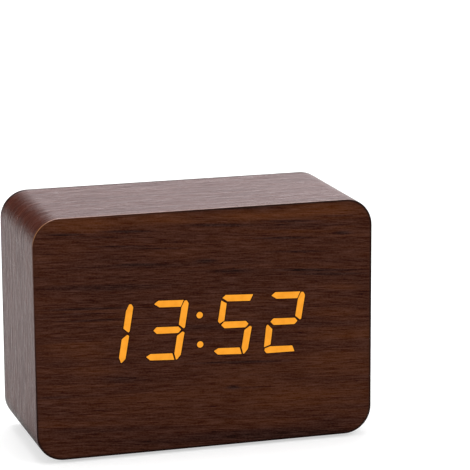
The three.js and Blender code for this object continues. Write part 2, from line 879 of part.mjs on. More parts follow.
// The narrowing turns of a contact spring, from the plate towards the cell
class ConeHelix extends THREE.Curve {
  constructor(startX, signX, z) {
    super();
    this.start = new THREE.Vector3(startX, cellY, z);
    this.sign = signX;
  }

  getPoint(share) {
    const angle = 2 * Math.PI * springTurns * share;
    const radius = THREE.MathUtils.lerp(springWideRadius, springNarrowRadius, share);
    const climb = springRoom - springWire - 2 * springEndGap;
    return new THREE.Vector3(
      this.start.x - this.sign * climb * share,
      this.start.y + radius * Math.cos(angle),
      this.start.z + radius * Math.sin(angle),
    );
  }
}

// The least clear space between one turn of the wire and the next
function leastTurnGap(helix) {
  const steps = springTurns * springStepsPerTurn;
  const points = Array.from({ length: steps + 1 }, (_, step) => helix.getPoint(step / steps));
  let least = Infinity;
  for (let i = 0; i + springStepsPerTurn <= steps; i += 1) {
    least = Math.min(least, points[i].distanceTo(points[i + springStepsPerTurn]) - springWire);
  }
  return least;
}

function springHelix(signX, z) {
  const plateX = bayLength / 2 - contactThickness;
  return new ConeHelix(signX * (plateX - springEndGap - springWire / 2), signX, z);
}

function contactSpring(signX, z) {
  const steps = springTurns * springStepsPerTurn;
  return tube(springHelix(signX, z), springWire / 2, springSides, steps);
}

function contactPlate(signX, [lowZ, highZ]) {
  const wallX = signX * bayLength / 2;
  const faceX = signX * (bayLength / 2 - contactThickness);
  const x = [Math.min(wallX, faceX), Math.max(wallX, faceX)];
  return block(x, around(cellY, contactWidth), [lowZ - contactWidth / 2, highZ + contactWidth / 2]);
}

// The raised button that meets a cell's raised end
function contactButton(signX, z) {
  const faceX = signX * (bayLength / 2 - contactThickness / 2);
  const tipX = signX * (bayLength / 2 - contactThickness - contactDimple);
  return rail(circle(contactDimpleRadius, cellY, z), [Math.min(faceX, tipX), Math.max(faceX, tipX)]);
}

// The tongue of a contact that reaches through the bay's floor to its lead
function contactTag(signX, z) {
  const x = around(signX * (bayLength / 2 - contactThickness / 2), contactThickness);
  return block(x, [trayFrontY - tagReach, cellY], around(z, tagWidth));
}

function addBatteries() {
  const [lowCellZ, middleCellZ, highCellZ] = cellPlacesZ;
  add('battery_1', roundCell(1, lowCellZ), cellSleeve);
  add('battery_2', roundCell(-1, middleCellZ), cellSleeve);
  add('battery_3', roundCell(1, highCellZ), cellSleeve);
  const springs = [[-1, lowCellZ], [1, middleCellZ], [-1, highCellZ]];
  springs.forEach(([signX, z], index) => {
    add(`battery_spring_${index + 1}`, contactSpring(signX, z), steel);
  });
  console.log(`least gap between spring turns: ${leastTurnGap(springHelix(1, 0)).toFixed(2)} mm`);
  const negative = contactPlate(-1, [lowCellZ, lowCellZ]).add(contactTag(-1, lowCellZ));
  const bridgeLeft = contactPlate(-1, [middleCellZ, highCellZ]).add(contactButton(-1, middleCellZ));
  const bridgeRight = contactPlate(1, [lowCellZ, middleCellZ]).add(contactButton(1, lowCellZ));
  const positive = contactPlate(1, [highCellZ, highCellZ])
    .add(contactButton(1, highCellZ))
    .add(contactTag(1, highCellZ));
  add('contact_negative', negative, steel);
  add('contact_bridge_left', bridgeLeft, steel);
  add('contact_bridge_right', bridgeRight, steel);
  add('contact_positive', positive, steel);
}

// Rear board and what is on it

function keyBoard() {
  let board = block(around(0, keyBoardWidth), [keyBoardFrontY, keyBoardRearY], [keyBoardLowZ, keyBoardHighZ]);
  const through = [keyBoardFrontY - overrun, keyBoardRearY + overrun];
  for (const x of [firstPostX, secondPostX]) {
    board = board.subtract(slab(circle(boardScrewRadius + boardHoleClearance, x, keyBoardZ), through));
  }
  return board;
}

function buttonCap(x) {
  const cap = roundedRectangle(capWidth, capHeight, capCornerRadius, x, keyBoardZ);
  const flange = block(
    around(x, capFlangeWidth),
    [capInnerY, capInnerY + capFlangeThickness],
    around(keyBoardZ, capHeight + 2 * capFlange),
  );
  return slab(cap, [capInnerY, capOuterY], cornerSteps).add(flange);
}

function tactBase(x) {
  const hole = circle(plungerRadius + plungerClearance, x, keyBoardZ);
  const holeY = [tactRearY - plungerDepth - buttonTravel - plungerClearance, tactRearY + overrun];
  return block(around(x, tactSize), [keyBoardRearY, tactRearY], around(keyBoardZ, tactSize))
    .subtract(slab(hole, holeY));
}

function plunger(x) {
  return slab(circle(plungerRadius, x, keyBoardZ), [tactRearY - plungerDepth, capInnerY]);
}

function slideBody() {
  const rear = keyBoardRearY + slideBodyDepth;
  const slot = block(
    around(slideX, knobWidth + slideTravel + 2 * slidingClearance),
    [keyBoardRearY + slideFloor, rear + overrun],
    around(keyBoardZ, knobHeight + 2 * slidingClearance),
  );
  return block(around(slideX, slideBodyWidth), [keyBoardRearY, rear], around(keyBoardZ, slideBodyHeight))
    .subtract(slot);
}

function slideKnob() {
  const footY = keyBoardRearY + slideFloor + slidingClearance;
  const x = around(slideX - slideTravel / 2, knobWidth);
  return block(x, [footY, coverOuterY + knobProud], around(keyBoardZ, knobHeight));
}

function powerJack() {
  const bodyRear = coverInnerY - slidingClearance;
  const noseRear = coverOuterY - jackNoseInset;
  const boreY = noseRear - jackBoreDepth;
  const body = block(around(jackX, jackWidth), [keyBoardRearY, bodyRear], around(keyBoardZ, jackHeight));
  return body
    .add(slab(circle(jackNoseRadius, jackX, keyBoardZ), [keyBoardRearY, noseRear]))
    .subtract(slab(circle(jackBoreRadius, jackX, keyBoardZ), [boreY, noseRear + overrun]))
    .add(slab(circle(jackPinRadius, jackX, keyBoardZ), [boreY - jackPinInset, noseRear - jackPinInset]));
}

function addRearBoard() {
  add('key_board', keyBoard(), greenBoard);
  const buttons = { set: setX, up: upX, down: downX };
  for (const [name, x] of Object.entries(buttons)) {
    add(`button_${name}_cap`, buttonCap(x), blackPlastic);
    add(`button_${name}_plunger`, plunger(x), blackResin);
    add(`button_${name}_switch`, tactBase(x), darkSteel);
  }
  add('sound_switch_body', slideBody(), steel);
  add('sound_switch_knob', slideKnob(), blackPlastic);
  add('power_jack', powerJack(), blackPlastic);
  [firstPostX, secondPostX].forEach((x, index) => {
    const place = [x, keyBoardFrontY, keyBoardZ];
    add(`key_board_screw_${index + 1}`, boardScrew().rotate([180, 0, 0]).translate(place), steel);
  });
  const sounder = circle(sounderRadius, -sideBayX, sounderZ);
  add('sounder', slab(sounder, [coverInnerY - sounderHeight, coverInnerY]), blackResin);
  const microphone = circle(microphoneRadius, sideBayX, microphoneZ);
  add('microphone', slab(microphone, [coverInnerY - microphoneHeight, coverInnerY]), darkSteel);
}

// Wiring

const displayConnectorZ = displayZ + displayBoardHeight / 2 - displayConnectorInset;
const displayConnectorRearY = displayBoardRearY + connectorDepth;
const keyConnectorFrontY = keyBoardFrontY - connectorDepth;

function connector(y, z) {
  return block(around(0, ribbonWidth + 2 * connectorMargin), y, around(z, connectorHeight));
}

// A flat strip hanging between the two connectors
function ribbon() {
  const startY = displayConnectorRearY + leadGap;
  const endY = keyConnectorFrontY - leadGap;
  const reach = (endY - startY) / 3;
  const line = new THREE.CubicBezierCurve(
    new THREE.Vector2(startY, displayConnectorZ),
    new THREE.Vector2(startY + reach, displayConnectorZ - ribbonSag),
    new THREE.Vector2(endY - reach, keyBoardZ - ribbonSag),
    new THREE.Vector2(endY, keyBoardZ),
  );
  const side = (sign) => line.getPoints(ribbonSteps).map((point, step) => {
    const along = line.getTangent(step / ribbonSteps);
    return [point.x - sign * along.y * ribbonThickness / 2, point.y + sign * along.x * ribbonThickness / 2];
  });
  return rail(polygon([...side(-1), ...side(1).reverse()]), around(0, ribbonWidth));
}

// A lead from a contact's tag, up in front of the tray to the rear board
function lead(signX, tagZ) {
  const tagX = signX * (bayLength / 2 - contactThickness - leadRadius - leadGap);
  const y = trayFrontY - leadGap - leadRadius;
  const padX = signX * (keyBoardWidth / 2 - leadPadInset);
  const line = new THREE.CatmullRomCurve3([
    new THREE.Vector3(tagX, y, tagZ),
    new THREE.Vector3(tagX, y, (tagZ + trayHighZ) / 2),
    new THREE.Vector3(tagX, y, trayHighZ),
    new THREE.Vector3(padX, y, keyBoardLowZ + leadDrop),
    new THREE.Vector3(padX, keyBoardFrontY - leadGap, keyBoardLowZ + 2 * leadDrop),
  ]);
  return tube(line, leadRadius, leadSides, Math.ceil(line.getLength() / leadStep));
}

function addWiring() {
  const displaySide = connector([displayBoardRearY, displayConnectorRearY], displayConnectorZ);
  const keySide = connector([keyConnectorFrontY, keyBoardFrontY], keyBoardZ);
  add('display_connector', displaySide, whitePlastic);
  add('key_connector', keySide, whitePlastic);
  add('ribbon_cable', ribbon(), greyInsulation);
  add('battery_lead_black', lead(-1, cellPlacesZ[0]), blackInsulation);
  add('battery_lead_red', lead(1, cellPlacesZ[cellCount - 1]), redInsulation);
}

addCase();
addDisplay();
add('rear_cover', rearCover(), blackPlastic);
add('battery_door', batteryDoor(), blackPlastic);
cornerSigns.forEach(([signX, signZ], index) => {
  const place = [signX * coverScrewX, coverScrewSeatY, middleZ + signZ * coverScrewZ];
  add(`cover_screw_${index + 1}`, coverScrew().translate(place), darkSteel);
});
addBatteries();
addRearBoard();
addWiring();

export default clock;
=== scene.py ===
# The looks of a wooden digital alarm clock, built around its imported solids.
# Metres where no heading says millimetres; +X points right seen from the front, +Z up, the face towards -Y.

import json
import math

import bmesh
import bpy
from mathutils import Matrix, Vector
from mathutils.geometry import delaunay_2d_cdt


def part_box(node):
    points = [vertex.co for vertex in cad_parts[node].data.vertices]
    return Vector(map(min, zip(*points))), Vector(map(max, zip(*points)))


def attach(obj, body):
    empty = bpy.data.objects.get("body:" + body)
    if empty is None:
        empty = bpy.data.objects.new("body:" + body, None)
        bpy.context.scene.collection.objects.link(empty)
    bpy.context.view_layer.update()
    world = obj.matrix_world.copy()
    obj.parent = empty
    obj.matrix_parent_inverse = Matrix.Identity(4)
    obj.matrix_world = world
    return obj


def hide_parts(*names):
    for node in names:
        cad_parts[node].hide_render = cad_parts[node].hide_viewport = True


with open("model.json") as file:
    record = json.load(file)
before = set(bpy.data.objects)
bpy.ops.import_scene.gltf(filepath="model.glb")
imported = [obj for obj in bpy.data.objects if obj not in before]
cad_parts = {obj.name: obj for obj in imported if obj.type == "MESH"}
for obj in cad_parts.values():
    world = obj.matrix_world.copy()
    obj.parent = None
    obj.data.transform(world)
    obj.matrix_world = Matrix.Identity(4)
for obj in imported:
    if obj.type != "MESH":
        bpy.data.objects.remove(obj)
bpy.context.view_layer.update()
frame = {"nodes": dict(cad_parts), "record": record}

MM = 0.001
PER_MM = 1000.0

# The clock's block, as its solids have it
BLOCK_LOW, BLOCK_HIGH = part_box("front_film")
FACE_Y = BLOCK_LOW.y
FILM_REAR_Y = BLOCK_HIGH.y
REAR_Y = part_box("wrap_film")[1].y
MIDDLE_Z = (BLOCK_LOW.z + BLOCK_HIGH.z) / 2
HALF_WIDTH = (BLOCK_HIGH.x - BLOCK_LOW.x) / 2
HALF_HEIGHT = (BLOCK_HIGH.z - BLOCK_LOW.z) / 2
CORNER_RADIUS = 8 * MM
CORNER_STEPS = 18

# Films
WRAP_THICKNESS = 0.4 * MM
WRAP_SEAM = 0.2 * MM
WRAP_FRONT_BAND = 8 * MM
WRAP_DIVISIONS_Y = (FACE_Y + WRAP_FRONT_BAND, 0.0)
WRAP_REAR_ROUND = 0.3 * MM
# How far in from the rear the wrapped film is near black and unreflecting: a painted line of shade along its
# rear edge
WRAP_REAR_SHADE_STRIP = 1.0 * MM
FACE_EDGE_ROUND = 0.24 * MM
ROUND_STEPS = 3
HALO_WIDTH = 0.46 * MM
RIM_WIDTH = 0.62 * MM

# What counts as one point or as on the rim, which turns stay sharp, and which triangles are kept
ONE_POINT = 1e-7
ON_RIM = 1e-6
SHARP_ANGLE = math.radians(30)
INSIDE_ONLY = 1

# Camera, solved from the photograph's straight edges
CAMERA_PLACE = Vector((-198.93, -708.48, 221.84)) * MM
CAMERA_RIGHT = Vector((0.95687, -0.29048, -0.00513))
CAMERA_DOWN = Vector((-0.06764, -0.20556, -0.97630))
CAMERA_AHEAD = Vector((0.28254, 0.93454, -0.21634))
CAMERA_LENS = 198.45
CAMERA_SENSOR = 36.0
CAMERA_NEAREST = 0.01
CAMERA_FARTHEST = 100

# Lamps: name, place, size, power and whether surfaces mirror it
LAMPS = [
    ("key", (0.45, -0.75, 0.80), 0.5, 3.4, True),
    ("fill", (-0.70, -0.55, 0.45), 0.6, 1.5, False),
    ("overhead", (0.0, 0.15, 1.0), 0.7, 5.6, False),
    ("left", (-0.95, 0.10, 0.35), 0.5, 2.45, False),
    ("rear", (0.25, 0.9, 0.5), 0.6, 3.0, False),
]
FLOOR_HALF = 6.0
# Rises in light: from where, to where, and between which strengths; the floor's outward, the room's
# rightward. The floor's rise in mirror images is painted shade: its glow is left out there close to the clock
FLOOR_MIRRORED = (0.05, 0.09, 0.0, 0.15)
FLOOR_LIGHT = (0.4, 2.0, 0.55, 0.75)
ROOM_MIRRORED = ((-0.07, 0.20, 0.0, 1.32), (0.24, 0.36, 0.0, 0.25))

# Lit segments: outlines in millimetres from the middle of an upright digit, and where each digit's middle is
SEGMENTS = {
    "a": [(-5.2, 8.0), (-4.1, 9.0), (3.6, 8.65), (3.0, 6.6), (-3.4, 6.9)],
    "a_five": [(-5.1, 8.2), (-4.2, 9.1), (4.2, 8.7), (3.5, 6.7), (-3.3, 7.05)],
    "b": [(3.75, 8.5), (4.5, 8.5), (5.2, 7.5), (5.2, 0.5), (4.8, 0.2), (3.1, 1.5), (3.1, 6.6)],
    "c": [(4.6, -0.5), (5.3, -0.9), (5.2, -7.4), (4.3, -8.7), (3.9, -8.8), (3.1, -6.9), (3.1, -1.7)],
    "c_one": [
        (4.6, -0.25), (5.25, -0.7), (5.2, -7.4), (4.3, -8.4), (3.95, -8.5), (3.1, -6.9), (3.1, -1.5),
    ],
    "d": [(-5.2, -7.2), (-3.95, -6.4), (2.6, -6.7), (3.55, -8.8), (-3.75, -8.4)],
    "d_two": [(-4.6, -7.4), (-3.0, -6.9), (3.8, -7.2), (4.8, -9.1), (-3.8, -9.0), (-4.6, -8.2)],
    "e": [(-4.75, -0.4), (-5.1, -0.6), (-5.25, -1.1), (-4.9, -7.2), (-2.9, -6.5), (-3.1, -1.9)],
    "f": [(-5.3, 7.6), (-3.4, 6.6), (-3.3, 1.5), (-4.6, 0.7), (-5.3, 1.4)],
    "g": [(-4.2, 0.3), (-3.4, 1.3), (3.2, 1.0), (4.2, 0.0), (3.4, -1.0), (-3.0, -0.8)],
}
DIGITS = [
    (-27.7, 36.5, ["b", "c_one"]),
    (-11.46, 36.42, ["a", "b", "g", "c", "d"]),
    (8.56, 36.48, ["a_five", "f", "g", "c", "d"]),
    (23.32, 36.27, ["a", "b", "g", "e", "d_two"]),
]
DIGIT_SLANT = math.tan(math.radians(9.5))
SEGMENT_TRIM = 0.07
SEGMENT_CORNER = 0.22
SEGMENT_CORNER_STEPS = 3
EDGE_PER_CORNER = 2.5
COLON_DOTS = [(-1.86, 40.20), (-1.77, 31.56)]
COLON_RADIUS = 0.94
COLON_SIDES = 28

# Cells, their springs and leads, as their solids have them, in millimetres
CELL_Y = 12.85
CELL_ROWS_Z = [16.55, 27.35, 38.15]
CELL_SIGNS = (1, -1, 1)
CELL_SIDES = 40
CELL_RADIUS = 5.25
CELL_NUB_RADIUS = 1.9
CELL_NUB_HEIGHT = 0.9
CELL_BAND = 9.0
# Height, radius and whether it is sleeve, metal or band, up from the flat end and then on from the shoulder
CELL_END_PROFILE = [
    (0.12, 3.9, 1), (0.12, 4.35, 0), (0.0, 4.4, 0), (0.0, 4.85, 0), (0.12, 5.1, 0), (0.4, CELL_RADIUS, 0),
]
CELL_SHOULDER_PROFILE = [
    (-CELL_BAND, CELL_RADIUS, 0), (-0.4, CELL_RADIUS, 2), (-0.12, 5.1, 2), (0.0, 4.85, 2), (0.0, 4.2, 2),
    (-0.1, 4.15, 1), (-0.1, 2.3, 1), (0.0, CELL_NUB_RADIUS + 0.1, 1),
    (CELL_NUB_HEIGHT - 0.2, CELL_NUB_RADIUS, 1), (CELL_NUB_HEIGHT, CELL_NUB_RADIUS - 0.2, 1),
]
SPRING_START_X = 24.2
SPRING_CLIMB = 3.1
SPRING_WIDE = 3.2
SPRING_NARROW = 2.1
SPRING_TURNS = 3
SPRING_STEPS_PER_TURN = 20
SPRING_END_TURN = 0.2
WIRE_RADIUS = 0.3
WIRE_SIDES = 10
LEAD_RADIUS = 0.6
LEAD_STEPS = 12
LEAD_TAGS = [(-1, CELL_ROWS_Z[0]), (1, CELL_ROWS_Z[-1])]
LEAD_TAG_X = 23.9
LEAD_Y = 5.2
LEAD_BEND_Z = 48.7
LEAD_BOARD_X = 28.2
LEAD_BOARD_Z = 50.7
LEAD_END_Y = 9.9
TRAY_TOP_Z = 45.9
BOARD_FRONT_Y = 10.2
TAG_INNER_X = 24.8
SOLDER_SIDES = 18
SOLDER_PROFILE = [(0.0, 1.0), (0.12, 0.98), (0.35, 0.82), (0.55, 0.55), (0.62, 0.25)]

# Ribbon between the two boards, in millimetres; a core's section as shares of its pitch and thickness
RIBBON_ROUTE = [(-9.1, 52.35), (-4.1, 48.35), (0.9, 50.95), (5.9, 54.95)]
RIBBON_STEPS = 28
RIBBON_CORES = 8
RIBBON_WIDTH = 10.0
RIBBON_THICKNESS = 0.9
RIBBON_CORE_SHARES = [(-0.42, 0.5), (-0.25, 0.9), (0.0, 1.0), (0.25, 0.9), (0.42, 0.5)]
RIBBON_STRIPE_SHARE = 0.4

# Controls on the rear, in millimetres
CONTROL_Z = 54.95
BUTTON_PLACES = {"set": 21.69, "up": 10.54, "down": -0.60}
BUTTON_HALF_X = 3.5
BUTTON_HALF_Z = 2.2
BUTTON_RADIUS = 2.1
BUTTON_CORNER_STEPS = 8
# Height and inset from the cap's outline, from the flange up to the dish in its top
BUTTON_PROFILE = [
    (16.8, -0.8), (17.8, -0.8), (17.8, 0.0), (20.45, 0.0), (20.72, 0.1), (20.87, 0.28), (20.9, 0.5),
    (20.84, 0.9), (20.74, 1.4), (20.7, 1.9),
]
KNOB_RIDGES = 3
# Share of a ridge's pitch and depth below the knob's top
KNOB_RIDGE_SHARES = [(0.1, 0.3), (0.3, 0.0), (0.7, 0.0), (0.9, 0.3)]
JACK_X = -22.28
JACK_HALF_X = 3.7
JACK_HALF_Z = 3.5
JACK_SIDES = 40
JACK_FRONT_Y = 11.8
JACK_SHOULDER_Y = 17.8
# Height, radius and whether it is metal, from the nose over its lip, down the bore and up the pin
JACK_PROFILE = [
    (17.8, 2.9, 0), (19.15, 2.9, 0), (19.34, 2.82, 0), (19.4, 2.65, 0), (19.4, 2.15, 0), (19.25, 1.95, 1),
    (13.4, 1.9, 1), (13.4, 0.6, 0), (18.25, 0.6, 1), (18.5, 0.45, 1), (18.6, 0.2, 1),
]
COVER_Y = 20.0
MARK_Z = 59.4
MARK_SUNK = 0.02
MARK_RAISED = 0.03
MARK_DOT_RADIUS = 0.6
MARK_DOT_SIDES = 20
MARK_ARROW = [(-0.95, -0.65), (0.95, -0.65), (0.0, 0.85)]
MARK_LINE = 0.3
SWITCH_X = -12.74
SWITCH_MARKS_APART = 1.9
DIRECT_CURRENT_LENGTH = 3.0
DIRECT_CURRENT_GAP = 0.45
DIRECT_CURRENT_RISE = 0.4

# Feet, in millimetres, as height and radius
FOOT_SIDES = 36
FOOT_PROFILE = [(0.14, 1.6), (0.12, 2.3), (0.0, 2.7), (0.0, 3.6), (0.09, 3.88), (0.3, 4.0), (1.0, 4.0)]

# Solids whose sharp edges are broken by a fine bevel
SOFTENED = ["rear_cover", "battery_door"]
EDGE_BEVEL = 0.12 * MM
EDGE_BEVEL_STEPS = 2
EDGE_BEVEL_ANGLE = math.radians(40)
EDGE_JOINED_WITHIN = 0.001 * MM


# Shader nodes

# Heights of the finishes' relief
FACE_RELIEF = 0.03 * MM
WRAP_RELIEF = 0.36 * MM
PLASTIC_RELIEF = 0.02 * MM
FIBRE_RELIEF = 0.08 * MM
RUBBER_RELIEF = 0.04 * MM
TRACK_RELIEF = 0.04 * MM
METAL_RELIEF = 0.008 * MM
# Where most of a noise's values lie
NOISE_LOW = 0.3
NOISE_HIGH = 0.7
# A mix node's sockets for its share, its two colours and their result
MIX_INPUTS = (0, 6, 7)
MIX_OUTPUT = 2


class Graph:
    """The shader nodes of one tree, made and linked by short calls."""

    def __init__(self, tree, material=None):
        self.tree = tree
        self.material = material
        tree.nodes.clear()

    def node(self, kind, inputs=(), **settings):
        made = self.tree.nodes.new("ShaderNode" + kind)
        for name, value in settings.items():
            setattr(made, name, value)
        for name, value in dict(inputs).items():
            self.put(made.inputs[name], value)
        return made

    def put(self, socket, value):
        """Links a socket or sets its value; colours are opaque."""
        if isinstance(value, bpy.types.NodeSocket):
            self.tree.links.new(value, socket)
        elif socket.type == "RGBA":
            socket.default_value = (*value, 1.0)
        else:
            socket.default_value = value

    def place(self):
        """Where a point lies in the part's frame, in metres."""
        return self.node("TexCoord").outputs["Object"]

    def place_in_mm(self):
        return self.scaled(self.place(), (PER_MM,) * 3)

    def axes(self, vector):
        return self.node("SeparateXYZ", {0: vector}).outputs

    def attribute(self, name, output="Vector"):
        return self.node("Attribute", attribute_name=name).outputs[output]

    def scaled(self, vector, scale, offset=(0, 0, 0)):
        made = self.node("Mapping", {"Vector": vector, "Scale": scale, "Location": offset})
        return made.outputs["Vector"]

    def noise(self, vector, detail=3.0, roughness=0.55):
        inputs = {"Vector": vector, "Scale": 1.0, "Detail": detail, "Roughness": roughness}
        return self.node("TexNoise", inputs).outputs["Fac"]

    def cloud(self, scale, detail=3.0, roughness=0.55):
        """Noise that looks the same in all directions, finer for a larger scale."""
        return self.noise(self.scaled(self.place_in_mm(), (scale,) * 3), detail, roughness)

    def math(self, operation, *values):
        return self.node("Math", enumerate(values), operation=operation).outputs[0]

    def vector_math(self, operation, *values, output="Vector"):
        return self.node("VectorMath", enumerate(values), operation=operation).outputs[output]

    def reach(self, value, low, high, to_low=0.0, to_high=1.0, shape="SMOOTHSTEP"):
        """value between low and high as a smooth step between to_low and to_high."""
        inputs = {"Value": value, "From Min": low, "From Max": high, "To Min": to_low, "To Max": to_high}
        return self.node("MapRange", inputs, interpolation_type=shape).outputs["Result"]

    def line(self, *limits):
        """The same as a straight rise."""
        return self.reach(*limits, shape="LINEAR")

    def spread(self, noise, low, high):
        """A noise's values spread evenly between low and high."""
        return self.line(noise, NOISE_LOW, NOISE_HIGH, low, high)

    def two_tone(self, noise, first, second):
        return self.ramp(noise, [(NOISE_LOW, first), (NOISE_HIGH, second)])

    def blended(self, middle, parts):
        """The middle value plus each noise's distance from its own middle, times its weight."""
        total = middle - sum(weight for _, weight in parts) / 2
        for noise, weight in parts:
            total = self.math("MULTIPLY_ADD", noise, weight, total)
        return total

    def mix(self, share, first, second, blend="MIX"):
        inputs = zip(MIX_INPUTS, (share, first, second))
        return self.node("Mix", inputs, data_type="RGBA", blend_type=blend).outputs[MIX_OUTPUT]

    def ramp(self, share, stops):
        made = self.node("ValToRGB", {"Fac": share})
        elements = made.color_ramp.elements
        while len(elements) < len(stops):
            elements.new(1.0)
        for element, (position, colour) in zip(elements, stops):
            element.position = position
            element.color = (*colour, 1.0)
        return made.outputs["Color"]

    def bump(self, height, distance, strength):
        inputs = {"Height": height, "Distance": distance, "Strength": strength}
        return self.node("Bump", inputs).outputs["Normal"]

    def surface(self, inputs):
        """Finishes a material with a surface of these inputs."""
        shader = self.node("BsdfPrincipled", inputs)
        self.node("OutputMaterial", {"Surface": shader.outputs[0]})
        return self.material


def new_graph(name):
    material = bpy.data.materials.new(name)
    material.use_nodes = True
    return Graph(material.node_tree, material)


# Wood film

# Colours of the wood by its broad tone: dark streaks are nearly neutral, light ones orange
FACE_STOPS = [
    (0.24, (0.0195, 0.0066, 0.0042)),
    (0.36, (0.0310, 0.0095, 0.0058)),
    (0.50, (0.0500, 0.0147, 0.0072)),
    (0.64, (0.0795, 0.0236, 0.0082)),
    (0.80, (0.1140, 0.0302, 0.0070)),
]
# The wrapped film's colours: lighter and redder than the face's, partly painted light for the light and sheen
# on its top and sides
WRAP_STOPS = [
    (0.20, (0.0275, 0.0120, 0.0142)),
    (0.36, (0.0450, 0.0185, 0.0175)),
    (0.50, (0.0800, 0.0275, 0.0220)),
    (0.64, (0.1120, 0.0375, 0.0255)),
    (0.82, (0.1500, 0.0515, 0.0305)),
]
FINE_TINT = (1.0, 0.52, 0.42)
LEAST_COLOUR = (0.0085, 0.0028, 0.0014)
# Which layer of the noise each film shows, the slope of the face's grain, and its sway in millimetres
FACE_GRAIN_LAYER = 4.0
WRAP_GRAIN_LAYER = 11.0
GRAIN_SLOPE = math.tan(math.radians(3.3))
GRAIN_SWAY = 1.2
# The face darkens beside its lit parts and inside its edge, up to a share of the way to this colour
HALO_COLOUR = (0.010, 0.0035, 0.0025)
HALO_FULL = 0.8
HALO_SHARE = 0.88
# Painted shade on the wrapped film: it darkens in the rounded corners, more towards the rear, and between two
# heights beneath
BEND_PAINTED_SHADE = (0.86, 0.70, 0.56)
UNDERSIDE_START = 10.0 * MM
UNDERSIDE_FULL = 4.5 * MM
REAR_SHADE_DEPTH = 2.4 * MM
CORNER_SHADE = (0.30, 0.30, 0.32)


class Grain:
    """Dark straight-grained wood, with X along the grain in millimetres."""

    def __init__(self, graph, place, slope=0.0):
        self.graph = graph
        sway = graph.noise(graph.scaled(place, (0.012, 0.030, 1.0)), 1.0)
        sway = graph.line(sway, 0.0, 1.0, -GRAIN_SWAY, GRAIN_SWAY)
        fall = graph.math("MULTIPLY_ADD", graph.axes(place)["X"], slope, sway)
        drift = graph.node("CombineXYZ", {"Y": fall}).outputs[0]
        self.bent = graph.vector_math("ADD", place, drift)
        broad = self.layer(0.022, 0.11, 2.0, 0.55)
        band = self.layer(0.030, 0.42, 2.0, shift=(9.0, 4.0, 0.0))
        self.streak = self.layer(0.050, 1.05)
        self.fibre = self.layer(0.20, 2.8)
        grit = self.layer(1.5, 2.8, 2.0, 0.7, (5.0, 1.0, 0.0))
        pores = self.layer(0.16, 1.8, shift=(3.0, 7.0, 0.0))
        self.tone = graph.blended(0.5, ((broad, 0.14), (band, 0.20), (self.streak, 0.13)))
        fine = graph.blended(0.0, ((self.streak, 0.040), (self.fibre, 0.130), (grit, 0.070)))
        self.fine = graph.math("SUBTRACT", fine, graph.reach(pores, 0.58, 0.74, -0.001, 0.018))

    def layer(self, along, across, detail=3.0, roughness=0.6, shift=(0.0, 0.0, 0.0)):
        """Noise with its own fineness along and across the grain."""
        return self.graph.noise(self.graph.scaled(self.bent, (along, across, 1.0), shift), detail, roughness)

    def colour(self, stops, tone):
        """The broad tone's colour with the fine fibres added to it."""
        broad = self.graph.ramp(tone, stops)
        colour = self.graph.vector_math("MULTIPLY_ADD", self.fine, FINE_TINT, broad)
        return self.graph.vector_math("MAXIMUM", colour, LEAST_COLOUR)


# Streaks of the face: middle, half length and half height in millimetres, and change of tone
FACE_STREAKS = [
    (-36.0, 68.7, 17.0, 3.0, 0.17), (-13.0, 68.9, 14.0, 2.6, 0.16), (14.0, 68.2, 19.0, 2.1, 0.18),
    (35.0, 68.3, 18.0, 2.8, 0.20), (8.0, 70.5, 22.0, 0.6, -0.13), (-40.5, 66.3, 7.0, 0.42, -0.27),
    (-22.5, 65.9, 9.5, 0.45, -0.27), (4.0, 66.1, 12.0, 0.5, -0.19), (25.0, 66.0, 12.0, 0.5, -0.17),
    (39.0, 66.6, 9.0, 0.5, -0.12), (-31.0, 64.9, 14.0, 0.35, -0.07), (-3.0, 67.4, 14.0, 0.9, 0.06),
    (33.0, 64.5, 19.0, 0.5, -0.08), (27.0, 62.9, 22.0, 0.8, 0.10), (-24.0, 61.9, 13.0, 0.4, -0.19),
    (-17.0, 60.9, 16.0, 0.45, -0.15), (23.0, 61.3, 12.0, 0.5, -0.20), (41.0, 61.6, 3.5, 0.7, -0.24),
    (40.0, 63.3, 6.0, 0.7, 0.08), (27.0, 57.0, 12.0, 0.45, -0.15), (0.0, 56.1, 4.0, 0.8, -0.20),
    (-20.0, 56.6, 8.0, 0.5, -0.15), (-16.0, 55.8, 34.0, 0.8, -0.07), (8.0, 52.4, 9.0, 0.8, -0.15),
    (-30.0, 50.5, 26.0, 1.3, -0.15), (33.0, 51.0, 17.0, 0.6, -0.22), (37.0, 49.7, 15.0, 0.6, -0.19),
    (41.0, 45.2, 9.0, 1.4, 0.08), (-34.0, 44.7, 18.0, 0.5, -0.20), (-36.0, 43.4, 12.0, 0.4, -0.10),
    (-33.0, 41.3, 13.0, 0.55, -0.19), (-15.0, 40.6, 7.0, 2.5, -0.07), (-3.0, 36.5, 13.0, 1.3, -0.11),
    (38.0, 37.8, 14.0, 2.6, 0.075), (41.0, 31.2, 15.0, 2.8, 0.09), (34.0, 34.9, 16.0, 0.8, -0.07),
    (-39.0, 33.0, 14.0, 3.2, 0.09), (-39.0, 34.9, 14.0, 1.0, 0.05), (-40.0, 43.0, 14.0, 0.9, -0.05),
    (-33.0, 28.0, 9.0, 4.5, 0.06), (10.0, 25.5, 20.0, 0.5, -0.21), (-25.0, 23.4, 7.0, 1.2, -0.11),
    (40.0, 23.0, 18.0, 5.0, 0.09), (45.0, 15.8, 9.0, 1.4, 0.07), (36.0, 8.2, 16.0, 1.2, 0.06),
    (5.0, 17.0, 45.0, 13.0, 0.05), (-44.0, 19.7, 6.0, 0.6, -0.11), (8.0, 18.0, 2.4, 0.8, -0.26),
    (12.0, 17.6, 9.0, 0.5, -0.09), (29.0, 13.5, 24.0, 4.0, 0.06), (-46.0, 12.0, 6.0, 2.5, 0.04),
    (-26.0, 8.4, 26.0, 1.3, -0.09), (14.0, 3.0, 50.0, 2.8, -0.15), (39.0, 5.0, 12.0, 1.5, -0.07),
    (-28.0, 57.5, 20.0, 5.0, -0.05),
]
# Shares of a streak's half size between which it fades
STREAK_FADE_SHARES = (0.1, 1.2)


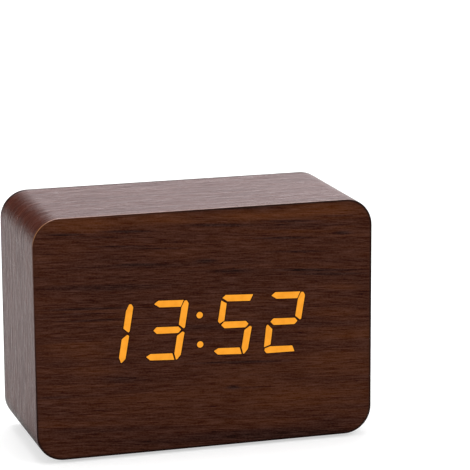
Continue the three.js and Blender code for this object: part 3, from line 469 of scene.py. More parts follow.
def face_film():
    graph = new_graph("face_film")
    axes = graph.axes(graph.place_in_mm())
    place = graph.node("CombineXYZ", {"X": axes["X"], "Y": axes["Z"], "Z": FACE_GRAIN_LAYER}).outputs[0]
    grain = Grain(graph, place, GRAIN_SLOPE)
    tone = grain.tone
    for x, z, half_length, half_height, strength in FACE_STREAKS:
        level = z + GRAIN_SLOPE * x
        shares = (1 / half_length, 1 / half_height, 0.0)
        local = graph.scaled(grain.bent, shares, (-x / half_length, -level / half_height, 0.0))
        distance = graph.vector_math("LENGTH", local, output="Value")
        tone = graph.math("ADD", tone, graph.reach(distance, *STREAK_FADE_SHARES, strength, 0.0))
    halo = graph.line(graph.attribute("halo", "Fac"), 0.0, HALO_FULL, 0.0, HALO_SHARE)
    return graph.surface({
        "Base Color": graph.mix(halo, grain.colour(FACE_STOPS, tone), HALO_COLOUR),
        "Roughness": graph.spread(grain.fibre, 0.52, 0.40),
        "Specular IOR Level": 0.05,
        "Normal": graph.bump(grain.fibre, FACE_RELIEF, 0.5),
    })


def wrap_finish():
    graph = new_graph("wrap_finish")
    grain = Grain(graph, graph.attribute("grain_place"))
    colour = grain.colour(WRAP_STOPS, grain.tone)
    # Painted shade: darker in the rounded corners, more so towards the rear, and towards the underside
    bend = graph.attribute("bend", "Fac")
    axes = graph.axes(graph.place())
    under = graph.reach(axes["Z"], UNDERSIDE_FULL, UNDERSIDE_START, 1.0, 0.0)
    rear = graph.reach(axes["Y"], REAR_Y - REAR_SHADE_DEPTH, REAR_Y - WRAP_REAR_SHADE_STRIP)
    rear_corner = graph.math("MULTIPLY", bend, rear)
    for share, painted_shade in ((bend, BEND_PAINTED_SHADE), (under, CORNER_SHADE), (rear_corner, CORNER_SHADE)):
        colour = graph.mix(share, colour, painted_shade, "MULTIPLY")
    mottle = grain.layer(0.22, 0.42, 3.0, 0.7, (2.0, 5.0, 0.0))
    relief = graph.math("MULTIPLY_ADD", grain.streak, 0.5, mottle)
    relief = graph.math("MULTIPLY_ADD", grain.fibre, 0.25, relief)
    gloss = graph.blended(0.5, ((grain.streak, 0.7), (grain.fibre, 0.6), (mottle, 0.3)))
    return graph.surface({
        "Base Color": colour,
        "Roughness": graph.spread(gloss, 0.44, 0.20),
        "IOR": 1.31,
        "Normal": graph.bump(relief, WRAP_RELIEF, 1.0),
    })


def film_edge():
    """The front film's trimmed edge, in the colours that its points store, which include painted highlights
    and sheen.
    """
    graph = new_graph("film_edge")
    speck = graph.cloud(0.7)
    tone = graph.attribute("edge_tone_and_highlight", "Color")
    return graph.surface({
        "Base Color": graph.mix(graph.line(speck, 0.35, 0.65, 0.0, 0.3), tone, (0.030, 0.012, 0.008)),
        "Roughness": graph.spread(speck, 0.55, 0.7),
        "Specular IOR Level": 0.0,
    })


def cut_edge_and_rear_shade():
    """The wrapped film's rear edge and cut ends, near black and unreflecting: painted shade along the rear
    edge.
    """
    graph = new_graph("cut_edge_and_rear_shade")
    speck = graph.cloud(0.9)
    return graph.surface({
        "Base Color": graph.ramp(speck, [(0.35, (0.008, 0.005, 0.005)), (0.65, (0.020, 0.010, 0.008))]),
        "Roughness": graph.spread(speck, 0.75, 0.9),
        "Specular IOR Level": 0.0,
    })


def lit_segment_finish():
    graph = new_graph("lit_segment")
    cloud = graph.cloud(0.5, 2.0)
    return graph.surface({
        "Base Color": graph.two_tone(cloud, (0.20, 0.07, 0.006), (0.26, 0.095, 0.008)),
        "Roughness": 0.6,
        "Specular IOR Level": 0.1,
        "Emission Color": graph.ramp(cloud, [(0.35, (0.86, 0.315, 0.018)), (0.65, (0.93, 0.355, 0.024))]),
        "Emission Strength": 0.86,
    })


# Plastics, metals and boards


def moulded_plastic(name, colour, lighter, roughness):
    """Plastic with a fine spark-eroded texture."""
    graph = new_graph(name)
    grit = graph.cloud(5.0, 2.0, 0.6)
    return graph.surface({
        "Base Color": graph.two_tone(graph.cloud(0.12), colour, lighter),
        "Roughness": graph.spread(grit, roughness - 0.06, roughness + 0.08),
        "Normal": graph.bump(grit, PLASTIC_RELIEF, 0.5),
    })


def raw_board(name):
    """Cut fibreboard: fine fibres and flecks."""
    graph = new_graph(name)
    fibre = graph.noise(graph.scaled(graph.place_in_mm(), (1.4, 2.4, 3.4)), 5.0, 0.7)
    fleck = graph.reach(graph.cloud(2.4, 3.0, 0.6), 0.60, 0.72, 0.0, 0.6)
    colour = graph.ramp(fibre, [
        (0.28, (0.20, 0.115, 0.055)), (0.5, (0.33, 0.205, 0.105)), (0.74, (0.46, 0.31, 0.17)),
    ])
    return graph.surface({
        "Base Color": graph.mix(fleck, colour, (0.12, 0.06, 0.025)),
        "Roughness": 0.92,
        "Specular IOR Level": 0.2,
        "Normal": graph.bump(fibre, FIBRE_RELIEF, 0.6),
    })


def rubber(name):
    graph = new_graph(name)
    grit = graph.cloud(3.0, 4.0, 0.65)
    return graph.surface({
        "Base Color": graph.two_tone(grit, (0.010, 0.010, 0.010), (0.022, 0.021, 0.021)),
        "Roughness": graph.spread(grit, 0.75, 0.92),
        "Normal": graph.bump(grit, RUBBER_RELIEF, 0.5),
    })


def metal(name, colour, lighter, roughness, stretch):
    """Rolled or brushed metal, its fine lines along the axis that stretch makes long."""
    graph = new_graph(name)
    lines = graph.noise(graph.scaled(graph.place_in_mm(), stretch), 4.0, 0.65)
    return graph.surface({
        "Base Color": graph.two_tone(graph.cloud(0.3), colour, lighter),
        "Metallic": 1.0,
        "Roughness": graph.spread(lines, roughness - 0.07, roughness + 0.09),
        "Normal": graph.bump(lines, METAL_RELIEF, 0.4),
    })


def circuit_board(name, mask, mask_light, track):
    """Solder mask over tracks, with tinned pads."""
    graph = new_graph(name)
    axes = graph.axes(graph.place_in_mm())
    plane = graph.node("CombineXYZ", {"X": axes["X"], "Y": axes["Z"]}).outputs[0]
    rows = graph.node("TexBrick", {
        "Vector": graph.scaled(plane, (0.18, 0.5, 1.0)),
        "Color1": (1, 1, 1), "Color2": (0, 0, 0), "Mortar": (0.5, 0.5, 0.5),
        "Scale": 1.0, "Mortar Size": 0.07, "Brick Width": 1.7, "Row Height": 0.5,
    }).outputs["Fac"]
    pads = graph.node("TexVoronoi", {"Vector": plane, "Scale": 0.36, "Randomness": 0.75}).outputs["Distance"]
    pads = graph.reach(pads, 0.10, 0.13, 1.0, 0.0)
    weave = graph.cloud(2.6)
    colour = graph.two_tone(weave, mask, mask_light)
    colour = graph.mix(graph.math("MULTIPLY", rows, 0.6), colour, track)
    return graph.surface({
        "Base Color": graph.mix(pads, colour, (0.55, 0.54, 0.50)),
        "Metallic": graph.math("MULTIPLY", pads, 0.9),
        "Roughness": graph.spread(weave, 0.28, 0.42),
        "Normal": graph.bump(graph.math("MAXIMUM", rows, pads), TRACK_RELIEF, 0.5),
    })


def lit_diffuser():
    graph = new_graph("lit_diffuser")
    return graph.surface({
        "Base Color": graph.two_tone(graph.cloud(0.6), (0.62, 0.24, 0.02), (0.80, 0.34, 0.04)),
        "Roughness": 0.45,
        "Emission Color": (0.9, 0.34, 0.02),
        "Emission Strength": 0.3,
    })


def insulation(name, colour, lighter):
    graph = new_graph(name)
    cloud = graph.cloud(0.8)
    return graph.surface({
        "Base Color": graph.two_tone(cloud, colour, lighter),
        "Roughness": graph.spread(cloud, 0.38, 0.52),
        "Normal": graph.bump(cloud, PLASTIC_RELIEF, 0.4),
    })


# Finishes of the slots and of some pieces: how each is made, its name, its colours and the rest
FINISHES = [
    (raw_board, "raw_board"),
    (rubber, "black_rubber"),
    (moulded_plastic, "black_plastic", (0.010, 0.010, 0.011), (0.016, 0.016, 0.017), 0.5),
    (moulded_plastic, "white_plastic", (0.66, 0.64, 0.58), (0.76, 0.74, 0.69), 0.45),
    (moulded_plastic, "black_resin", (0.007, 0.007, 0.008), (0.012, 0.012, 0.013), 0.42),
    (moulded_plastic, "key_plastic", (0.022, 0.022, 0.024), (0.030, 0.030, 0.032), 0.28),
    (moulded_plastic, "white_print", (0.42, 0.42, 0.42), (0.52, 0.52, 0.52), 0.6),
    (circuit_board, "green_board", (0.008, 0.075, 0.028), (0.012, 0.10, 0.04), (0.03, 0.19, 0.07)),
    (circuit_board, "black_board", (0.005, 0.006, 0.008), (0.010, 0.012, 0.014), (0.022, 0.026, 0.03)),
    (metal, "steel", (0.50, 0.50, 0.51), (0.63, 0.63, 0.64), 0.3, (0.3, 3.0, 3.0)),
    (metal, "dark_steel", (0.035, 0.035, 0.038), (0.06, 0.06, 0.065), 0.38, (2.0, 2.0, 2.0)),
    (insulation, "cell_sleeve", (0.022, 0.11, 0.045), (0.03, 0.14, 0.06)),
    (insulation, "band", (0.30, 0.20, 0.07), (0.38, 0.27, 0.10)),
    (insulation, "red_insulation", (0.36, 0.012, 0.010), (0.46, 0.02, 0.016)),
    (insulation, "black_insulation", (0.007, 0.007, 0.007), (0.012, 0.012, 0.012)),
    (insulation, "grey_insulation", (0.26, 0.28, 0.30), (0.34, 0.36, 0.38)),
]


# Meshes


def circle_points(radius, sides):
    return [
        (radius * math.cos(2 * math.pi * side / sides), radius * math.sin(2 * math.pi * side / sides))
        for side in range(sides)
    ]


def quarter_arc(radius):
    """Points of a quarter circle, as how far it has turned aside and how far it has gone on."""
    angles = [math.pi / 2 * step / ROUND_STEPS for step in range(ROUND_STEPS + 1)]
    return [(radius * (1 - math.cos(angle)), radius * math.sin(angle)) for angle in angles]


def rounded_rectangle(half_x, half_z, radius, steps):
    """A rectangle's outline in X and Z with round corners, from the lower right one round."""
    points = []
    for quarter, (sign_x, sign_z) in enumerate(((1, -1), (1, 1), (-1, 1), (-1, -1))):
        for step in range(steps + 1):
            angle = math.pi / 2 * (quarter - 1 + step / steps)
            points.append((
                sign_x * (half_x - radius) + radius * math.cos(angle),
                sign_z * (half_z - radius) + radius * math.sin(angle),
            ))
    return points


def rounded_loop(inset):
    """The block's outline in X and Z, moved inward."""
    outline = rounded_rectangle(HALF_WIDTH - inset, HALF_HEIGHT - inset, CORNER_RADIUS - inset, CORNER_STEPS)
    return [(x, MIDDLE_Z + z) for x, z in outline]


def new_object(name, data):
    made = bpy.data.objects.new(name, data)
    bpy.context.scene.collection.objects.link(made)
    return made


def mesh_of(name, vertices, faces, materials, indices=None, smooth=True):
    mesh = bpy.data.meshes.new(name)
    mesh.from_pydata(vertices, [], faces)
    for material in materials:
        mesh.materials.append(material)
    if indices:
        mesh.polygons.foreach_set("material_index", indices)
    mesh.polygons.foreach_set("use_smooth", [smooth] * len(mesh.polygons))
    mesh.update()
    return mesh


def store(mesh, name, kind, field, values):
    """Stores a value for each vertex, for a material to read."""
    layer = mesh.attributes.new(name, kind, "POINT")
    for point, value in zip(layer.data, values):
        setattr(point, field, value)


def outward(made):
    """Drops points without a face, turns all faces to look outward, and keeps sharp turns sharp."""
    work = bmesh.new()
    work.from_mesh(made.data)
    loose = [vertex for vertex in work.verts if not vertex.link_faces]
    bmesh.ops.delete(work, geom=loose, context="VERTS")
    bmesh.ops.recalc_face_normals(work, faces=work.faces)
    work.to_mesh(made.data)
    work.free()
    made.data.set_sharp_from_angle(angle=SHARP_ANGLE)


def bridged(near, far):
    """The faces between two closed rows of as many points."""
    return [(near[i - 1], far[i - 1], far[i], near[i]) for i in range(len(near))]


def skinned(name, stacks, materials, kinds=None, unit=MM, smooth=True):
    """Closed skins with flat ends over stacks of rings; kinds are material slots from end to end."""
    vertices = []
    faces = []
    indices = []
    for rings in stacks:
        rows = []
        for ring in rings:
            rows.append(range(len(vertices), len(vertices) + len(ring)))
            vertices += [Vector(point) * unit for point in ring]
        groups = [[tuple(reversed(rows[0]))], *map(bridged, rows, rows[1:]), [tuple(rows[-1])]]
        for kind, group in zip(kinds or [0] * len(groups), groups):
            faces += group
            indices += [kind] * len(group)
    made = new_object(name, mesh_of(name, vertices, faces, materials, indices, smooth))
    outward(made)
    return made


# Films and lit segments

# Material slots of the front film
FACE_SLOT = 0
EDGE_SLOT = 1
SIDE_SLOT = 2

# Colours of the trimmed edge, with painted highlights along the top and at the top left corner and painted
# sheen down the left, and between which shares of the block's half sizes they come in
EDGE_DARK = Vector((0.010, 0.005, 0.004))
EDGE_BROWN = Vector((0.10, 0.055, 0.045))
EDGE_GREY_SHEEN = Vector((0.26, 0.20, 0.20))
EDGE_PALE_HIGHLIGHT = Vector((0.92, 0.71, 0.67))
EDGE_ROSY_HIGHLIGHT = Vector((0.50, 0.345, 0.315))
EDGE_GOLDEN_HIGHLIGHT = Vector((0.30, 0.14, 0.06))
LEFT_SHARES = (0.85, 0.95)
TOP_SHARES = (0.90, 0.99)
GOLDEN_UP_SHARES = (0.76, 0.86)
GREY_DOWN_SHARES = (-0.4, 0.3)
PALE_RIGHT_SHARES = (-0.7, 0.5)
OFF_BOTTOM_SHARES = (-0.95, -0.75)
OFF_RIGHT_SHARES = (-0.92, -0.75)

# The face's darker rim: from which shares it deepens rightward and downward, how fast, and its least
RIM_RIGHT_SHARE = 0.6
RIM_DOWN_SHARE = 0.5
RIM_RISE = 4
RIM_LEAST = 0.1

# How fast the wrapped film's painted shade rises into a rounded corner
BEND_RISE = 1.6


def step_up(value, low, high):
    """None below low, one above high, and evenly rising between them."""
    return max(0.0, min(1.0, (value - low) / (high - low)))


def rounded_polygon(points):
    """A polygon whose corners are cut to short arcs."""
    out = []
    for index, point in enumerate(points):
        here = Vector(point)
        before = Vector(points[index - 1])
        after = Vector(points[(index + 1) % len(points)])
        shorter = min((before - here).length, (after - here).length)
        reach = min(SEGMENT_CORNER, shorter / EDGE_PER_CORNER)
        start = here + (before - here).normalized() * reach
        end = here + (after - here).normalized() * reach
        for step in range(SEGMENT_CORNER_STEPS + 1):
            share = step / SEGMENT_CORNER_STEPS
            near = start.lerp(here, share)
            far = here.lerp(end, share)
            out.append(tuple(near.lerp(far, share)))
    return out


def widened(outline, distance):
    """A polygon moved outward by a distance, corner by corner."""
    count = len(outline)
    area = sum(
        outline[i - 1][0] * outline[i][1] - outline[i][0] * outline[i - 1][1] for i in range(count)
    )
    sign = 1 if area > 0 else -1
    out = []
    for index in range(count):
        here = Vector(outline[index])
        back = (here - Vector(outline[index - 1])).normalized()
        ahead = (Vector(outline[(index + 1) % count]) - here).normalized()
        along = (back + ahead).normalized()
        out.append(tuple(here + sign * distance * Vector((along.y, -along.x))))
    return out


def lit_outlines():
    """Outlines of all lit segments and dots in X and Z, in metres."""
    outlines = []
    for middle_x, middle_z, names in DIGITS:
        for name in names:
            outline = []
            for x, z in rounded_polygon(SEGMENTS[name]):
                outline.append(((middle_x + x + DIGIT_SLANT * z) * MM, (middle_z + z) * MM))
            outlines.append(widened(outline, -SEGMENT_TRIM * MM))
    dot = circle_points(COLON_RADIUS, COLON_SIDES)
    for x, z in COLON_DOTS:
        outlines.append([((x + a) * MM, (z + b) * MM) for a, b in dot])
    return outlines


def is_inside(point, outline):
    """Whether a point lies inside a closed outline, by the crossings of a line to its right."""
    inside = False
    for index, (x, y) in enumerate(outline):
        last_x, last_y = outline[index - 1]
        if (y > point.y) != (last_y > point.y):
            crossing = x + (point.y - y) * (last_x - x) / (last_y - y)
            inside ^= point.x < crossing
    return inside


def nearest_on_edge(point, start, end):
    """How far a point is from an edge, and how far along the edge its nearest place lies."""
    span = end - start
    share = step_up((point - start).dot(span), 0.0, span.length_squared)
    return (point - start - span * share).length, share * span.length


def distance_to_outline(point, outline):
    corners = [Vector(corner) for corner in outline]
    return min(nearest_on_edge(point, corners[i - 1], corners[i])[0] for i in range(len(corners)))


def outline_run(point):
    """How far round the block's outline a point on it lies, from the seam in the middle of its underside."""
    low = Vector((0.0, MIDDLE_Z - HALF_HEIGHT))
    loop = [low, *(Vector(corner) for corner in rounded_loop(0.0)), low]
    run = 0.0
    found = []
    for start, end in zip(loop, loop[1:]):
        distance, along = nearest_on_edge(point, start, end)
        found.append((distance, run + along))
        run += (end - start).length
    return min(found)[1]


def shares_of_face(x, z):
    """How far right of and above the block's middle a place lies, as shares of its half sizes."""
    return x / HALF_WIDTH, (z - MIDDLE_Z) / HALF_HEIGHT


def edge_tone_and_highlight(x, z):
    """The colour of the film's trimmed edge: a painted pale and rosy highlight along the top, painted grey
    sheen down the left, a painted golden highlight at the top left corner, and dark elsewhere.
    """
    rightward, upward = shares_of_face(x, z)
    on_left = step_up(-rightward, *LEFT_SHARES)
    down_left = EDGE_BROWN.lerp(EDGE_GREY_SHEEN, step_up(-upward, *GREY_DOWN_SHARES))
    tone = EDGE_DARK.lerp(down_left, on_left * step_up(upward, *OFF_BOTTOM_SHARES))
    along_top = EDGE_ROSY_HIGHLIGHT.lerp(EDGE_PALE_HIGHLIGHT, step_up(rightward, *PALE_RIGHT_SHARES))
    tone = tone.lerp(along_top, step_up(upward, *TOP_SHARES) * step_up(-rightward, *OFF_RIGHT_SHARES))
    return tone.lerp(EDGE_GOLDEN_HIGHLIGHT, on_left * step_up(upward, *GOLDEN_UP_SHARES))


def rim_darkness(x, z):
    """How much darker the face is just inside its edge: most at the right and along the bottom."""
    rightward, upward = shares_of_face(x, z)
    past = max(rightward - RIM_RIGHT_SHARE, -upward - RIM_DOWN_SHARE)
    return max(RIM_LEAST, min(1.0, past * RIM_RISE))


def into_corner(x, z):
    """How far a place lies beyond the centres of the block's corner arcs, sideways and up or down."""
    return abs(x) - (HALF_WIDTH - CORNER_RADIUS), abs(z - MIDDLE_Z) - (HALF_HEIGHT - CORNER_RADIUS)


def outward_at(point):
    """The outward direction of the block's outline at a point on it."""
    away = Vector([max(depth, 0.0) for depth in into_corner(point.x, point.y)]).normalized()
    return Vector((math.copysign(away.x, point.x), math.copysign(away.y, point.y - MIDDLE_Z)))


def bend_share(point):
    """How far a point of the block's sides lies into a rounded corner: all in its middle, none outside it."""
    into_x, into_z = into_corner(point.x, point.z)
    if min(into_x, into_z) <= 0:
        return 0.0
    turn = math.atan2(into_z, into_x)
    return min(1.0, BEND_RISE * math.sin(2 * turn))


def store_wrap_places(mesh, places):
    """Stores where each vertex lies on the wrapped film, and how far it is bent there."""
    store(mesh, "grain_place", "FLOAT_VECTOR", "vector", places)
    store(mesh, "bend", "FLOAT", "value", [bend_share(vertex.co) for vertex in mesh.vertices])


def front_plan(outline, lit):
    """The front's points and triangles, with borders along the lit parts, their halos and the rim."""
    points = [Vector(point) for point in outline]
    edges = []
    halos = [widened(one, HALO_WIDTH) for one in lit]
    for loop in lit + halos + [rounded_loop(FACE_EDGE_ROUND + RIM_WIDTH)]:
        start = len(points)
        size = len(loop)
        edges += [(start + index, start + (index + 1) % size) for index in range(size)]
        points += [Vector(point) for point in loop]
    found = delaunay_2d_cdt(points, edges, [list(range(len(outline)))], INSIDE_ONLY, ONE_POINT)
    flat = found[0]
    triangles = []
    for triangle in found[2]:
        centre = sum((flat[corner] for corner in triangle), Vector((0.0, 0.0))) / 3
        if not any(is_inside(centre, one) for one in lit):
            triangles.append(tuple(triangle))
    return flat, triangles


def border_edges(triangles):
    """The edges that only one triangle has, in its direction."""
    edges = [edge for triangle in triangles for edge in zip(triangle, triangle[1:] + triangle[:1])]
    known = set(edges)
    return [(first, second) for first, second in edges if (second, first) not in known]


def face_darkness(point, outline, lit):
    """How much darker the face is at a point, beside the lit parts and inside its edge."""
    from_lit = min(distance_to_outline(point, one) for one in lit)
    from_edge = distance_to_outline(point, outline)
    rim_share = max(0.0, 1.0 - from_edge / RIM_WIDTH) * rim_darkness(point.x, point.y)
    return max(0.0, 1.0 - from_lit / HALO_WIDTH, rim_share)


def build_front_film(lit, materials):
    """The front film, with openings for the lit parts, their walls, and a rounded rim."""
    outline = rounded_loop(FACE_EDGE_ROUND)
    flat, triangles = front_plan(outline, lit)
    rear_start = len(flat)
    vertices = [(point.x, y, point.y) for y in (FACE_Y, FILM_REAR_Y) for point in flat]
    faces = []
    indices = []
    for triangle in triangles:
        faces += [triangle, tuple(rear_start + corner for corner in reversed(triangle))]
        indices += [FACE_SLOT, FACE_SLOT]
    follow = {}
    for first, second in border_edges(triangles):
        if max(distance_to_outline(flat[corner], outline) for corner in (first, second)) < ON_RIM:
            follow[first] = second
        else:
            faces.append((first, rear_start + first, rear_start + second, second))
            indices.append(EDGE_SLOT)
    ring = [next(iter(follow))]
    while follow[ring[-1]] != ring[0]:
        ring.append(follow[ring[-1]])

    # Rows of points from the face over the rounded rim and down the side
    profile = [(out, FACE_Y + back) for back, out in quarter_arc(FACE_EDGE_ROUND)[1:]]
    profile.append((FACE_EDGE_ROUND, FILM_REAR_Y))
    rows = [ring]
    for out, y in profile:
        rows.append(range(len(vertices), len(vertices) + len(ring)))
        moved = [flat[corner] + outward_at(flat[corner]) * out for corner in ring]
        vertices += [(point.x, y, point.y) for point in moved]
    rows.append([rear_start + corner for corner in ring])
    slots = [FACE_SLOT] + [EDGE_SLOT] * (ROUND_STEPS - 1) + [SIDE_SLOT, EDGE_SLOT]
    for slot, near, far in zip(slots, rows, rows[1:]):
        faces += bridged(near, far)
        indices += [slot] * len(ring)

    halo = [face_darkness(point, outline, lit) for point in flat]
    halo += [0.0] * (len(vertices) - len(halo))
    for corner, on_face in zip(rows[1], ring):
        halo[corner] = halo[on_face]
    places = [(0.0, 0.0, WRAP_GRAIN_LAYER)] * len(vertices)
    for index, corner in enumerate(ring):
        run = outline_run(flat[corner] + outward_at(flat[corner]) * FACE_EDGE_ROUND)
        for row in rows[1:-1]:
            places[row[index]] = (run * PER_MM, vertices[row[index]][1] * PER_MM, WRAP_GRAIN_LAYER)
    mesh = mesh_of("film_front", vertices, faces, materials, indices)
    store(mesh, "halo", "FLOAT", "value", halo)
    # The edge's stored colours hold painted highlights along the top and painted sheen down the left
    store(mesh, "edge_tone_and_highlight", "FLOAT_COLOR", "color", [(*edge_tone_and_highlight(x, z), 1.0) for x, _, z in vertices])
    store_wrap_places(mesh, places)
    film = new_object("film_front", mesh)
    outward(film)
    return film


def build_lit_segments(lit, material):
    """Closed prisms that fill the film's openings."""
    stacks = [[[(x, y, z) for x, z in outline] for y in (FACE_Y, FILM_REAR_Y)] for outline in lit]
    return skinned("lit_segments", stacks, [material], unit=1.0, smooth=False)


def build_wrap_film(material, cut_and_shaded_edge):
    """The film round the four sides, from its seam under the clock all the way round."""
    section = [(0.0, y) for y in (FILM_REAR_Y, *WRAP_DIVISIONS_Y, REAR_Y - WRAP_REAR_SHADE_STRIP)]
    # Rows from here on take the near-black finish: painted shade along the rear edge
    dark_from = len(section) - 1
    section += [(inset, REAR_Y - WRAP_REAR_ROUND + back) for inset, back in quarter_arc(WRAP_REAR_ROUND)]
    section += [(WRAP_THICKNESS, REAR_Y), (WRAP_THICKNESS, FILM_REAR_Y)]
    vertices = []
    places = []
    for inset, y in section:
        low_z = MIDDLE_Z - HALF_HEIGHT + inset
        start, end = ((side * WRAP_SEAM / 2, low_z) for side in (1, -1))
        loop = [start, *rounded_loop(inset), end]
        outer = [start, *rounded_loop(0.0), end]
        run = 0.0
        for index, (x, z) in enumerate(loop):
            if index:
                run += (Vector(outer[index]) - Vector(outer[index - 1])).length
            vertices.append((x, y, z))
            places.append((run * PER_MM, y * PER_MM, WRAP_GRAIN_LAYER))
    faces = []
    indices = []
    rows = len(section)
    count = len(vertices) // rows
    for row in range(rows):
        below = row * count
        above = (row + 1) % rows * count
        for index in range(count - 1):
            faces.append((below + index, below + index + 1, above + index + 1, above + index))
            indices.append(0 if row < dark_from else 1)
    faces.append(tuple(row * count for row in range(rows)))
    faces.append(tuple(row * count + count - 1 for row in reversed(range(rows))))
    indices += [1, 1]
    mesh = mesh_of("film_wrap", vertices, faces, [material, cut_and_shaded_edge], indices)
    store_wrap_places(mesh, places)
    wrap = new_object("film_wrap", mesh)
    outward(wrap)
    return wrap


# Small parts


def box_in_mm(node):
    return [corner * PER_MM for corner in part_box(node)]


def carried(path, section):
    """Rings of a section, given as pairs, along a path, the first of each pair starting along X."""
    across = Vector((1, 0, 0))
    rings = []
    for index, point in enumerate(path):
        ahead = path[min(index + 1, len(path) - 1)] - path[max(index - 1, 0)]
        ahead.normalize()
        across = (across - ahead * across.dot(ahead)).normalized()
        up = ahead.cross(across)
        rings.append([point + across * first + up * second for first, second in section])
    return rings


def spring_path(sign, z):
    """Three narrowing turns from the contact plate towards the cell, with a flat closing arc at both ends."""
    steps = SPRING_TURNS * SPRING_STEPS_PER_TURN
    ends = round(SPRING_END_TURN * SPRING_STEPS_PER_TURN)
    path = []
    for step in range(-ends, steps + ends + 1):
        share = step_up(step, 0, steps)
        angle = 2 * math.pi * step / SPRING_STEPS_PER_TURN
        radius = SPRING_WIDE + (SPRING_NARROW - SPRING_WIDE) * share
        path.append(Vector((
            sign * (SPRING_START_X - SPRING_CLIMB * share),
            CELL_Y + radius * math.cos(angle),
            z + radius * math.sin(angle),
        )))
    return path


def build_springs(steel):
    for index, (sign, z) in enumerate(zip(CELL_SIGNS, CELL_ROWS_Z), 1):
        rings = carried(spring_path(-sign, z), circle_points(WIRE_RADIUS, WIRE_SIDES))
        spring = skinned(f"spring_coil_{index}", [rings], [steel])
        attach(spring, "root")
        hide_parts(f"battery_spring_{index}")


def build_ribbon(material, stripe):
    """Eight insulated cores side by side, joined by thin webs."""
    a, b, c, d = (Vector((0.0, *point)) for point in RIBBON_ROUTE)
    path = []
    for step in range(RIBBON_STEPS + 1):
        t = step / RIBBON_STEPS
        s = 1 - t
        path.append(a * s ** 3 + b * 3 * s * s * t + c * 3 * s * t * t + d * t ** 3)
    pitch = RIBBON_WIDTH / RIBBON_CORES
    upper = []
    for core in range(RIBBON_CORES):
        middle = (core - (RIBBON_CORES - 1) / 2) * pitch
        for share, height in RIBBON_CORE_SHARES:
            upper.append((middle + share * pitch, height * RIBBON_THICKNESS / 2))
    half = RIBBON_WIDTH / 2
    section = [(-half, 0.0), *upper, (half, 0.0), *((x, -height) for x, height in reversed(upper))]
    ribbon = skinned("ribbon_cores", [carried(path, section)], [material, stripe])
    for polygon in ribbon.data.polygons:
        if polygon.center.x < (RIBBON_STRIPE_SHARE * pitch - half) * MM:
            polygon.material_index = 1
    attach(ribbon, "root")
    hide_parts("ribbon_cable")


def smooth_path(points, steps):
    """A centripetal Catmull-Rom curve through points, with steps between each pair."""
    ends = [points[0] * 2 - points[1], *points, points[-1] * 2 - points[-2]]
    path = []
    for index in range(len(points) - 1):
        a, b, c, d = ends[index:index + 4]
        times = [0.0]
        for near, far in ((a, b), (b, c), (c, d)):
            times.append(times[-1] + math.sqrt((far - near).length))
        t0, t1, t2, t3 = times
        for step in range(steps):
            t = t1 + (t2 - t1) * step / steps
            p = a.lerp(b, (t - t0) / (t1 - t0))
            q = b.lerp(c, (t - t1) / (t2 - t1))
            r = c.lerp(d, (t - t2) / (t3 - t2))
            u = p.lerp(q, (t - t0) / (t2 - t0))
            v = q.lerp(r, (t - t1) / (t3 - t1))
            path.append(u.lerp(v, (t - t1) / (t2 - t1)))
    return path + [points[-1].copy()]


def build_leads(black, red):
    """The two battery leads, from their contacts up to the rear board."""
    for (sign, tag_z), material, colour in zip(LEAD_TAGS, (black, red), ("black", "red")):
        route = [
            Vector((sign * LEAD_TAG_X, LEAD_Y, tag_z)),
            Vector((sign * LEAD_TAG_X, LEAD_Y, (tag_z + TRAY_TOP_Z) / 2)),
            Vector((sign * LEAD_TAG_X, LEAD_Y, TRAY_TOP_Z)),
            Vector((sign * LEAD_BOARD_X, LEAD_Y, LEAD_BEND_Z)),
            Vector((sign * LEAD_BOARD_X, LEAD_END_Y, LEAD_BOARD_Z)),
        ]
        rings = carried(smooth_path(route, LEAD_STEPS), circle_points(LEAD_RADIUS, WIRE_SIDES))
        lead = skinned(f"lead_{colour}", [rings], [material])
        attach(lead, "root")
        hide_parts(f"battery_lead_{colour}")


def build_cells(sleeve, steel, band):
    """Sleeved cells, the sleeve drawn in over both ends of the can."""
    for index, (sign, z) in enumerate(zip(CELL_SIGNS, CELL_ROWS_Z), 1):
        low, high = box_in_mm(f"battery_{index}")
        shoulder = high.x - low.x - CELL_NUB_HEIGHT
        profile = CELL_END_PROFILE + [
            (shoulder + along, radius, kind) for along, radius, kind in CELL_SHOULDER_PROFILE
        ]
        rings = []
        for along, radius, _ in profile:
            x = low.x + along if sign > 0 else high.x - along
            rings.append([(x, CELL_Y + a, z + b) for a, b in circle_points(radius, CELL_SIDES)])
        kinds = [1] + [kind for _, _, kind in profile[1:]] + [1]
        cell = skinned(f"cell_{index}", [rings], [sleeve, steel, band], kinds)
        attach(cell, "root")
        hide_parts(f"battery_{index}")


def build_buttons(plastic):
    """Caps with rounded edges, a dish for the fingertip and a flange that holds them in."""
    for name, x in BUTTON_PLACES.items():
        rings = []
        for y, inset in BUTTON_PROFILE:
            outline = rounded_rectangle(
                BUTTON_HALF_X - inset, BUTTON_HALF_Z - inset, BUTTON_RADIUS - inset, BUTTON_CORNER_STEPS
            )
            rings.append([(x + a, y, CONTROL_Z + b) for a, b in outline])
        cap = skinned(f"button_{name}_rounded", [rings], [plastic])
        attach(cap, f"button_{name}")
        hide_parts(f"button_{name}_cap")


def build_knob(plastic):
    """The slide's knob, with ridges across its top for the fingernail."""
    low, high = box_in_mm("sound_switch_knob")
    pitch = (high.x - low.x) / KNOB_RIDGES
    rings = []
    for ridge in range(KNOB_RIDGES):
        for share, depth in KNOB_RIDGE_SHARES:
            x = low.x + (ridge + share) * pitch
            top = high.y - depth
            rings.append([(x, low.y, low.z), (x, top, low.z), (x, top, high.z), (x, low.y, high.z)])
    first = [(low.x, y, z) for _, y, z in rings[0]]
    last = [(high.x, y, z) for _, y, z in rings[-1]]
    knob = skinned("sound_switch_ridges", [[first, *rings, last]], [plastic])
    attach(knob, "sound_switch")
    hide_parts("sound_switch_knob")


